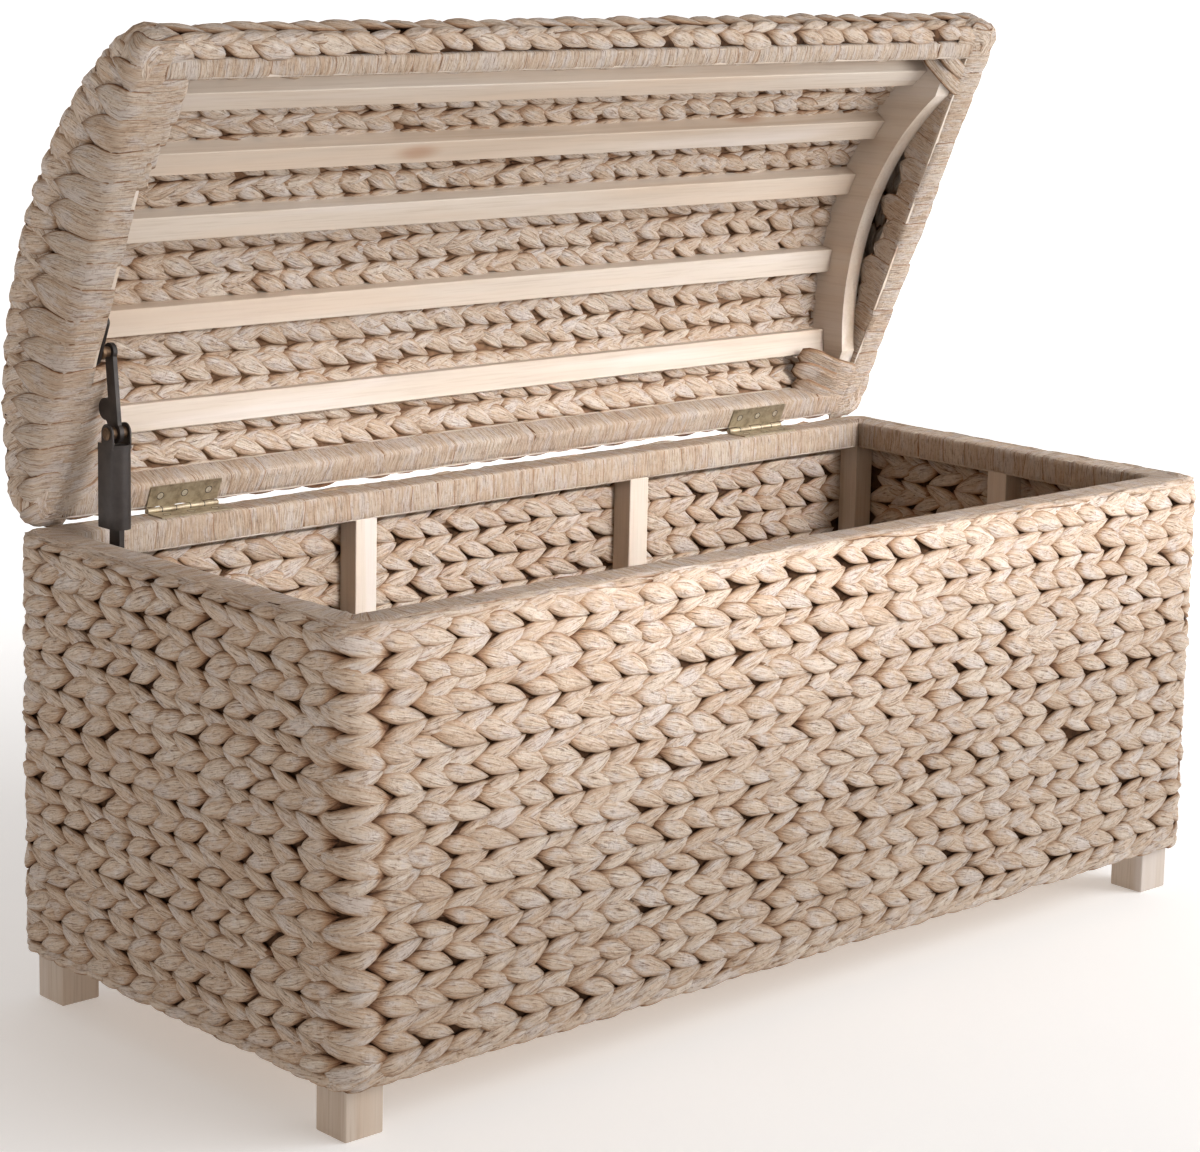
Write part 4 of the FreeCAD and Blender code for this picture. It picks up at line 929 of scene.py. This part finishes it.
class N:
    """Short ways to add shader nodes."""

    def __init__(self, nt):
        self.nt = nt

    def put(self, sock, v):
        if isinstance(v, bpy.types.NodeSocket):
            self.nt.links.new(v, sock)
        elif v is not None:
            sock.default_value = v

    def attr(self, name):
        n = self.nt.nodes.new("ShaderNodeAttribute")
        n.attribute_name = name
        return n

    def math(self, op, a, b=None, c=None, clamp=False):
        n = self.nt.nodes.new("ShaderNodeMath")
        n.operation = op
        n.use_clamp = clamp
        for i, v in enumerate((a, b, c)):
            self.put(n.inputs[i], v)
        return n.outputs[0]

    def mapping(self, vec, scale=(1, 1, 1), loc=(0, 0, 0), rot=(0, 0, 0)):
        n = self.nt.nodes.new("ShaderNodeMapping")
        self.put(n.inputs["Vector"], vec)
        n.inputs["Scale"].default_value = scale
        n.inputs["Location"].default_value = loc
        n.inputs["Rotation"].default_value = rot
        return n.outputs[0]

    def noise(self, vec, scale=1.0, detail=3.0, rough=.55, dist=0.0):
        n = self.nt.nodes.new("ShaderNodeTexNoise")
        self.put(n.inputs["Vector"], vec)
        n.inputs["Scale"].default_value = scale
        n.inputs["Detail"].default_value = detail
        n.inputs["Roughness"].default_value = rough
        n.inputs["Distortion"].default_value = dist
        return n.outputs["Fac"]

    def voronoi(self, vec, scale=1.0, feature="F1", rand=1.0):
        n = self.nt.nodes.new("ShaderNodeTexVoronoi")
        n.feature = feature
        self.put(n.inputs["Vector"], vec)
        n.inputs["Scale"].default_value = scale
        n.inputs["Randomness"].default_value = rand
        return n.outputs["Distance"]

    def ramp(self, fac, stops, interp="LINEAR"):
        n = self.nt.nodes.new("ShaderNodeValToRGB")
        self.put(n.inputs["Fac"], fac)
        cr = n.color_ramp
        cr.interpolation = interp
        while len(cr.elements) < len(stops):
            cr.elements.new(1.0)
        for e, (p, c) in zip(cr.elements, stops):
            e.position = p
            e.color = (*c, 1) if len(c) == 3 else c
        return n.outputs["Color"]

    def range(self, v, a, b, c, d, smooth_=False):
        n = self.nt.nodes.new("ShaderNodeMapRange")
        n.interpolation_type = "SMOOTHSTEP" if smooth_ else "LINEAR"
        self.put(n.inputs["Value"], v)
        for i, x in zip((1, 2, 3, 4), (a, b, c, d)):
            self.put(n.inputs[i], x)
        return n.outputs[0]

    def mix(self, fac, a, b, mode="MIX"):
        n = self.nt.nodes.new("ShaderNodeMix")
        n.data_type = "RGBA"
        n.blend_type = mode
        n.clamp_factor = True
        self.put(n.inputs["Factor"], fac)
        for sock, v in ((n.inputs["A"], a), (n.inputs["B"], b)):
            pass
        ia = [i for i in n.inputs if i.name == "A" and i.type == "RGBA"][0]
        ib = [i for i in n.inputs if i.name == "B" and i.type == "RGBA"][0]
        self.put(ia, a if isinstance(a, bpy.types.NodeSocket) else (*a, 1))
        self.put(ib, b if isinstance(b, bpy.types.NodeSocket) else (*b, 1))
        return [o for o in n.outputs if o.type == "RGBA"][0]

    def bump(self, h, strength, dist, normal=None):
        n = self.nt.nodes.new("ShaderNodeBump")
        n.inputs["Strength"].default_value = strength
        n.inputs["Distance"].default_value = dist
        self.put(n.inputs["Height"], h)
        if normal is not None:
            self.put(n.inputs["Normal"], normal)
        return n.outputs[0]

    def coords(self, kind="Object"):
        n = self.nt.nodes.new("ShaderNodeTexCoord")
        return n.outputs[kind]

    def sep(self, v):
        n = self.nt.nodes.new("ShaderNodeSeparateXYZ")
        self.put(n.inputs[0], v)
        return n.outputs


def srgb(r, g, b):
    f = lambda c: (c / 255 / 12.92) if c <= 10 else ((c / 255 + .055) / 1.055) ** 2.4
    return (f(r), f(g), f(b))


def braid_material(name, strip=False, shade=1.0):
    m, nt, bs = material(name)
    n = N(nt)
    fib = n.attr("fib").outputs["Vector"]
    painted_shade = n.attr("painted_shade").outputs["Fac"]
    tone = n.attr("tone").outputs["Fac"]
    obj = n.coords("Object")
    fine = n.noise(n.mapping(fib, (78, 1050, 1)), 1.0, 4, .68, .45)       # fibres along the leaf
    mid = n.noise(n.mapping(fib, (26, 420, 1)), 1.0, 2, .5, .4)           # ribs and folds
    wrin = n.noise(n.mapping(fib, (300, 330, 1)), 1.0, 4, .62, .8)        # cross wrinkles
    crack = n.noise(n.mapping(fib, (260, 190, 1)), 1.0, 3, .65, 1.4)         # short cross cracks
    wash = n.noise(n.mapping(fib, (34, 90, 1)), 1.0, 3, .6)              # patches of whitewash
    big = n.noise(obj, 7.0, 2, .5)
    cream = srgb(212, 199, 185)
    tan = srgb(195, 173, 152)
    lilac = srgb(208, 200, 196)
    c = n.mix(n.range(tone, 0, 1, 0.0, .8), cream, tan)
    c = n.mix(n.range(mid, .38, .68, .0, .55), c, srgb(182, 148, 116))
    # whitewash kept to the crests, clear of the painted shade
    c = n.mix(n.math("MULTIPLY", n.range(wash, .46, .64, 0, .72, True), n.range(painted_shade, .4, .85, 0, 1)), c, lilac)
    c = n.mix(n.range(wrin, .54, .70, 0, .55), c, srgb(148, 118, 94))
    c = n.mix(n.range(fine, .53, .68, 0, .92), c, srgb(108, 82, 62))
    c = n.mix(n.range(fine, .28, .46, .6, 0), c, srgb(232, 224, 214))
    c = n.mix(n.range(crack, .66, .76, 0, .30), c, srgb(140, 110, 86))
    c = n.mix(n.range(big, .3, .7, .15, 0), c, srgb(178, 146, 116))
    # painted shade: the shade factor turns creases, tucked tails and lobe edges brown, multiplied over the colour
    edge = n.ramp(painted_shade, [(0.0, srgb(86, 57, 39)), (.32, srgb(160, 122, 92)), (.62, srgb(228, 207, 186)), (.9, (1, 1, 1))])
    c = n.mix(1.0, c, edge, "MULTIPLY")
    if strip:
        c = n.mix(1.0, c, (.90, .885, .87), "MULTIPLY")                  # the wound leaf is a little more tan, and also darkened as painted shade for these strips that face the light
    nt.links.new(c, bs.inputs["Base Color"])
    r = n.range(fine, .3, .7, .60, .80)
    nt.links.new(r, bs.inputs["Roughness"])
    bs.inputs["Specular IOR Level"].default_value = .32
    h = n.math("ADD", n.math("MULTIPLY", fine, .7), n.math("ADD", n.math("MULTIPLY", mid, .9), n.math("MULTIPLY", wrin, .6)))
    h = n.math("SUBTRACT", h, n.range(crack, .64, .76, 0, .25))
    nt.links.new(n.bump(h, 1.0, .0024), bs.inputs["Normal"])
    return m


def core_material(name, dark, light):
    m, nt, bs = material(name)
    n = N(nt)
    o = n.coords("Object")
    c = n.ramp(n.noise(o, 120, 3), [(.3, dark), (.7, light)])
    nt.links.new(c, bs.inputs["Base Color"])
    bs.inputs["Roughness"].default_value = .9
    bs.inputs["Specular IOR Level"].default_value = .1
    nt.links.new(n.bump(n.noise(o, 300, 3), .5, .001), bs.inputs["Normal"])
    return m


def wood_material(name, axis, light, mid, dark, knots=.5, grain=1.0):
    """Planed softwood with its grain along one axis of the object."""
    m, nt, bs = material(name)
    n = N(nt)
    o = n.coords("Object")
    lo, hi = 1.1, 26
    sc = [hi, hi, hi]
    sc[axis] = lo
    sf = [520, 520, 520]
    sf[axis] = 14
    warp = n.noise(n.mapping(o, tuple(3.0 if i != axis else .9 for i in range(3))), 1.0, 2)
    ring = n.noise(n.mapping(o, tuple(sc)), 1.0, 3, .55, .7)
    fine = n.noise(n.mapping(o, tuple(sf)), 1.0, 3, .6)
    c = n.ramp(ring, [(.25, light), (.55, mid), (.80, dark)])
    c = n.mix(n.range(warp, .35, .7, 0, .35), c, light)
    c = n.mix(n.range(fine, .5, .78, 0, .42 * grain), c, dark)
    band = [17.0, 17.0, 17.0]
    band[axis] = 1.6
    tint = n.noise(n.mapping(o, tuple(band), (.7, .2, .9)), 1.0, 3, .6, .5)
    c = n.mix(n.range(tint, .50, .66, 0, .5), c, srgb(206, 184, 163))
    c = n.mix(n.range(tint, .34, .46, .5, 0), c, srgb(214, 206, 202))
    if knots:
        ks = [13.0, 13.0, 13.0]
        ks[axis] = 4.6
        kd = n.voronoi(n.mapping(o, tuple(ks), (.37, .11, .53)), 1.0)
        kf = n.range(kd, .05, .17, knots, 0, True)
        c = n.mix(kf, c, srgb(150, 104, 70))
        kc = n.range(kd, .02, .06, knots, 0, True)
        c = n.mix(kc, c, srgb(96, 62, 40))
    nt.links.new(c, bs.inputs["Base Color"])
    nt.links.new(n.range(fine, .3, .7, .50, .68), bs.inputs["Roughness"])
    bs.inputs["Specular IOR Level"].default_value = .35
    nt.links.new(n.bump(n.math("ADD", n.math("MULTIPLY", fine, .6), n.math("MULTIPLY", ring, .5)), .28, .0006), bs.inputs["Normal"])
    return m


def metal_material(name, light, dark, rough, metallic, patina=.5, scale=90):
    m, nt, bs = material(name)
    n = N(nt)
    o = n.coords("Object")
    a = n.noise(o, scale, 4, .6)
    b = n.noise(n.mapping(o, (900, 140, 140)), 1.0, 2)
    c = n.mix(n.range(a, .42, .66, 0, patina), light, dark)
    c = n.mix(n.range(b, .55, .8, 0, .25), c, dark)
    nt.links.new(c, bs.inputs["Base Color"])
    bs.inputs["Metallic"].default_value = metallic
    nt.links.new(n.range(a, .3, .7, rough - .07, rough + .12), bs.inputs["Roughness"])
    nt.links.new(n.bump(n.math("ADD", n.math("MULTIPLY", a, .6), n.math("MULTIPLY", b, .4)), .18, .0004), bs.inputs["Normal"])
    return m


M_BRAID = braid_material("braid")
M_STRIP = braid_material("leaf_strip", True)
# painted shadow: the cores are dark brown so that the gaps between lobes read as shadow
M_CORE = core_material("braid_core_painted_shadow", srgb(50, 33, 22), srgb(96, 68, 48))
# painted shade: the back skin is brown so the gaps between the lid's inner plaits read as shade
M_SKIN = core_material("braid_back_skin_painted_shade", srgb(104, 76, 56), srgb(146, 112, 86))
PINE = (srgb(210, 199, 187), srgb(198, 183, 168), srgb(168, 147, 127))
M_WOOD = [wood_material("pine_%s" % "xyz"[i], i, *PINE, knots=.55) for i in range(3)]
M_FOOT = wood_material("washed_foot", 2, srgb(200, 188, 176), srgb(188, 172, 157), srgb(160, 138, 119), knots=0, grain=1.3)
M_PLY = wood_material("plywood", 0, srgb(214, 188, 156), srgb(200, 168, 132), srgb(172, 136, 100), knots=0)
M_BRASS = metal_material("antique_brass", srgb(176, 162, 138), srgb(108, 92, 70), .38, .70, .6, 140)
M_SCREW = metal_material("screw_steel", srgb(212, 204, 188), srgb(128, 116, 98), .34, .7, .5, 200)
M_DARK = metal_material("joint_shadow", srgb(44, 35, 27), srgb(26, 20, 16), .6, .3, .5, 200)
M_STAY = metal_material("stay_black", srgb(58, 51, 48), srgb(36, 31, 29), .40, .35, .6, 60)
M_RIVET = metal_material("stay_rivet", srgb(112, 88, 66), srgb(58, 44, 34), .42, .7, .6, 120)


def paint(node, mat):
    me = NODES[node].data
    me.materials.clear()
    me.materials.append(mat)


for name in NODES:
    if name.startswith("leg_"):
        paint(name, M_FOOT)
    elif name == "floor_panel":
        paint(name, M_PLY)
    elif name.startswith("hinge_screws"):
        paint(name, M_SCREW)
    elif name.startswith("hinge"):
        paint(name, M_BRASS)
    elif name in ("stay_elbow_rivet", "stay_tip_rivet", "stay_body_stud", "stay_lid_stud"):
        paint(name, M_RIVET)
    elif name.startswith("stay_"):
        paint(name, M_STAY)
    elif name.endswith("posts"):
        paint(name, M_WOOD[2])
    elif name in ("top_rail_left", "top_rail_right", "bottom_rail_left", "bottom_rail_right", "lid_rail_left", "lid_rail_right", "lid_rib_left", "lid_rib_right"):
        paint(name, M_WOOD[1])
    else:
        paint(name, M_WOOD[0])

# ------------------------------------------------------------------ the woven pieces
front, right, left, back = wall_lobes()
for nm, lb in (("front", front), ("right", right), ("left", left), ("back", back)):
    merge_lobes("weave_%s_outer" % nm, [(lb, wall_out)], M_BRAID, "trunk", ["weave_%s" % nm], "braid")
    merge_lobes("weave_%s_inner" % nm, [(inner_lobes(nm), make_wall_in(nm))], M_BRAID, "trunk", ["weave_%s" % nm], "braid")
mesh_object("weave_core", *ring_core(), M_CORE, "trunk", [], "braid")
mesh_object("rim_strips", *merge([rim_strips(w) for w in ("front", "back", "left", "right")] + [rim_binding().build(wall_out)]), M_STRIP, "trunk", ["rim_wrap"], "leaf_strip")

for half, lb in zip("ab", halves(lid_lobes())):
    merge_lobes("lid_weave_outer_" + half, [(lb, lid_out)], M_BRAID, "lid", ["lid_weave_dome", "lid_weave_front", "lid_weave_back"], "braid")
for half, lb in zip("ab", halves(lid_inner_lobes())):
    merge_lobes("lid_weave_inner_" + half, [(lb, lid_in)], M_BRAID, "lid", ["lid_weave_dome"], "braid")
for sg, nm in ((-1, "left"), (1, "right")):
    e = make_arc_edge(sg)
    merge_lobes("lid_weave_%s_arc" % nm, [(arc_lobes(e), e)] + [(corner_lobes(), make_lid_corner(sg, fs)) for fs in (True, False)], M_BRAID, "lid", ["lid_weave_%s" % nm], "braid")
    merge_lobes("lid_weave_%s_inner" % nm, [(lid_end_inner_lobes(), make_lid_end_in(sg))], M_BRAID, "lid", ["lid_weave_%s" % nm], "braid")
    mesh_object("lid_corner_straps_%s" % nm, *corner_straps(sg), M_STRIP, "lid", ["lid_rim_wrap"], "leaf_strip")
    mesh_object("lid_end_leaves_%s" % nm, *lid_end_strips(sg), M_STRIP, "lid", ["lid_weave_%s" % nm, "lid_rim_wrap"], "leaf_strip")
mesh_object("lid_rim_strips", *merge([lid_back_strips(), lid_front_strips()]), M_STRIP, "lid", ["lid_rim_wrap"], "leaf_strip")
mesh_object("lid_core", *lid_core(), M_CORE, "lid", [], "braid")
mesh_object("lid_back_skin", *lid_back_skin(), M_SKIN, "lid", [], "braid")


# ------------------------------------------------------------------ the stay's coil spring
def coil():
    lo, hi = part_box("stay_spring")
    lo, hi = np.array(lo) * 1000, np.array(hi) * 1000
    c = (lo + hi) / 2
    size = hi - lo
    wire = .55
    r = min(size[0], size[1]) / 2 - wire
    turns = max(8, int(size[2] / (wire * 2.6)))
    nseg, nw = turns * 16, 6
    k = np.linspace(0, 1, nseg)
    a = k * turns * 2 * math.pi
    z = lo[2] + wire + k * (size[2] - 2 * wire)
    p = np.stack([c[0] + r * np.cos(a), c[1] + r * np.sin(a), z], 1)
    rad = np.stack([np.cos(a), np.sin(a), 0 * a], 1)
    upv = np.array([0, 0, 1.0])
    w = np.arange(nw) / nw * 2 * math.pi
    co = p[:, None] + wire * (np.cos(w)[None, :, None] * rad[:, None] + np.sin(w)[None, :, None] * upv)
    g = np.arange(nseg * nw).reshape(nseg, nw)
    q = [(g[i, j], g[i + 1, j], g[i + 1, (j + 1) % nw], g[i, (j + 1) % nw]) for i in range(nseg - 1) for j in range(nw)]
    for i, f in ((0, 1), (nseg - 1, 0)):
        r0 = list(g[i])
        for qq in ((r0[0], r0[1], r0[2], r0[3]), (r0[0], r0[3], r0[4], r0[5])):
            q.append(qq[::-1] if f else qq)
    q = np.array(q)[:, ::-1]
    return co.reshape(-1, 3), q, np.zeros((0, 3), int), {}


mesh_object("stay_coil", *coil(), M_STAY, "stay_lower", ["stay_spring"], "stay_metal")


# ------------------------------------------------------------------ painted shadow rings round the hinge screws and between the knuckles
def ring(c, axis, side, r0, r1, h, n=28):
    """Flat ring of height h that stands on the point c along the axis."""
    axis, side = np.array(axis, float), np.array(side, float)
    other = np.cross(axis, side)
    a = np.arange(n) / n * 2 * math.pi
    d = np.cos(a)[:, None] * side + np.sin(a)[:, None] * other
    co = np.concatenate([np.array(c) + r * d + k * axis for r, k in ((r0, 0), (r1, 0), (r1, h), (r0, h))])
    q = []
    for k in range(4):
        k2 = (k + 1) % 4
        for i in range(n):
            j = (i + 1) % n
            q.append((k * n + i, k * n + j, k2 * n + j, k2 * n + i)[::-1])
    return co, np.array(q), np.zeros((0, 3), int), {}


def hinge_rings():
    body, lid = [], []
    hv = 24 * .58
    hdir = np.array(lid_place(0, 0, 1)) - np.array(lid_place(0, 0, 0))
    for sx in (-363.0, 363.0):
        for k in (-26, 0, 26):
            body.append(ring((sx + k, 205.6 - hv, 418.35), (0, 0, 1), (1, 0, 0), 3.1, 3.75, .12))
            lid.append(ring(lid_place(sx + k, hv, -1.35), -hdir, (1, 0, 0), 3.1, 3.75, .12))
        for k in range(1, 5):
            body.append(ring((sx - 38 + k * 15.2 - .45, 205.6, 420.0), (1, 0, 0), (0, 1, 0), 2.3, 2.84, .9))
    return merge(body), merge(lid)


rings_body, rings_lid = hinge_rings()
# painted shadow: dark rings where the countersinks and the gaps between knuckles would lie in shade
mesh_object("hinge_shadow_rings_body", *rings_body, M_DARK, "trunk", [], "hinge_brass")
mesh_object("hinge_shadow_rings_lid", *rings_lid, M_DARK, "lid", [], "hinge_brass")

# ------------------------------------------------------------------ floor, light, camera
fm, nt, bs = material("floor")
n = N(nt)
nt.links.new(n.ramp(n.noise(n.coords("Object"), 3.0, 3), [(.3, (.93, .93, .93)), (.7, (.95, .95, .95))]), bs.inputs["Base Color"])
bs.inputs["Roughness"].default_value = .9
bs.inputs["Specular IOR Level"].default_value = .1
bs.inputs["Emission Color"].default_value = (1, 1, 1, 1)
dist = nt.nodes.new("ShaderNodeVectorMath")
dist.operation = "LENGTH"
nt.links.new(n.coords("Object"), dist.inputs[0])
nt.links.new(n.range(dist.outputs["Value"], .6, 2.4, .26, .62, True), bs.inputs["Emission Strength"])
me = bpy.data.meshes.new("floor")
F = 40.0
me.from_pydata([(-F, -F, 0), (F, -F, 0), (F, F, 0), (-F, F, 0)], [], [(0, 1, 2, 3)])
me.materials.append(fm)
floor = bpy.data.objects.new("floor", me)
bpy.context.scene.collection.objects.link(floor)

scene = bpy.context.scene
scene.view_settings.view_transform = "Standard"
w = bpy.data.worlds.new("studio")
scene.world = w
w.use_nodes = True
nt = w.node_tree
n = N(nt)
bg = nt.nodes["Background"]
gx, gy, gz = n.sep(n.coords("Generated"))[:3]
sky = n.ramp(gz, [(0.0, (1.06, 1.06, 1.06)), (.16, (1.04, 1.04, 1.04)), (.5, (.54, .54, .55)), (1.0, (.54, .54, .55))])
sidelight = n.range(n.math("ADD", gx, n.math("MULTIPLY", gy, .35)), -.75, .45, 0.0, 1.0, True)
sidelight = n.math("MAXIMUM", sidelight, n.range(gz, .0, .30, 1.0, 0.0, True))
warm = n.mix(sidelight, (.55, .42, .30), (1, 1, 1))
nt.links.new(n.mix(1.0, sky, warm, "MULTIPLY"), bg.inputs["Color"])
bg.inputs["Strength"].default_value = 1.0


def area(name, loc, target, size, power, color=(1, 1, 1)):
    ld = bpy.data.lights.new(name, "AREA")
    ld.shape = "RECTANGLE"
    ld.size, ld.size_y = size
    ld.energy = power
    ld.color = color
    ob = bpy.data.objects.new(name, ld)
    scene.collection.objects.link(ob)
    ob.location = loc
    ob.rotation_euler = (Vector(target) - Vector(loc)).to_track_quat("-Z", "Y").to_euler()
    return ob


def sun(name, direction, strength, angle, color=(1, 1, 1)):
    ld = bpy.data.lights.new(name, "SUN")
    ld.energy = strength
    ld.angle = math.radians(angle)
    ld.color = color
    ob = bpy.data.objects.new(name, ld)
    scene.collection.objects.link(ob)
    ob.rotation_euler = Vector(direction).to_track_quat("-Z", "Y").to_euler()
    return ob


def spot(name, loc, target, power, angle, radius, color=(1, 1, 1)):
    ld = bpy.data.lights.new(name, "SPOT")
    ld.energy = power
    ld.spot_size = math.radians(angle)
    ld.spot_blend = 1.0
    ld.shadow_soft_size = radius
    ld.color = color
    ob = bpy.data.objects.new(name, ld)
    scene.collection.objects.link(ob)
    ob.location = loc
    ob.rotation_euler = (Vector(target) - Vector(loc)).to_track_quat("-Z", "Y").to_euler()
    return ob


sun("key", (-.42, .66, -.60), .50, 38)
area("side", (1.9, -1.5, .9), (.45, -.1, .3), (1.3, 1.3), 29, (.95, .98, 1.0))
spot("lid_right", (1.0, -1.9, .72), (.26, .28, .80), 50, 36, .5)
spot("lid_left", (.15, -2.0, .72), (-.30, .28, .80), 50, 36, .5)
inside = area("inside", (.35, -1.9, 1.15), (.05, .2, .33), (1.1, .12), 1.55)
inside.data.spread = math.radians(18)

cam = bpy.data.cameras.new("camera")
cob = bpy.data.objects.new("camera", cam)
scene.collection.objects.link(cob)
CAM = (-1956.03, -2064.48, 958.95, -42.758, 9.575, 1.176, 3136.83)
az, el, roll = [math.radians(a) for a in CAM[3:6]]
fw = Vector((-math.sin(az) * math.cos(el), math.cos(az) * math.cos(el), -math.sin(el)))
rt = fw.cross(Vector((0, 0, 1))).normalized()
upv = rt.cross(fw)
r2 = rt * math.cos(roll) + upv * math.sin(roll)
u2 = -rt * math.sin(roll) + upv * math.cos(roll)
cob.matrix_world = Matrix(((r2.x, u2.x, -fw.x, CAM[0] * .001), (r2.y, u2.y, -fw.y, CAM[1] * .001), (r2.z, u2.z, -fw.z, CAM[2] * .001), (0, 0, 0, 1)))
cam.sensor_fit = "HORIZONTAL"
cam.sensor_width = 36.0
cam.lens = CAM[6] / 1200 * 36
cam.shift_y = (432 - 576) / 1200
cam.clip_start, cam.clip_end = .05, 200
scene.camera = cob
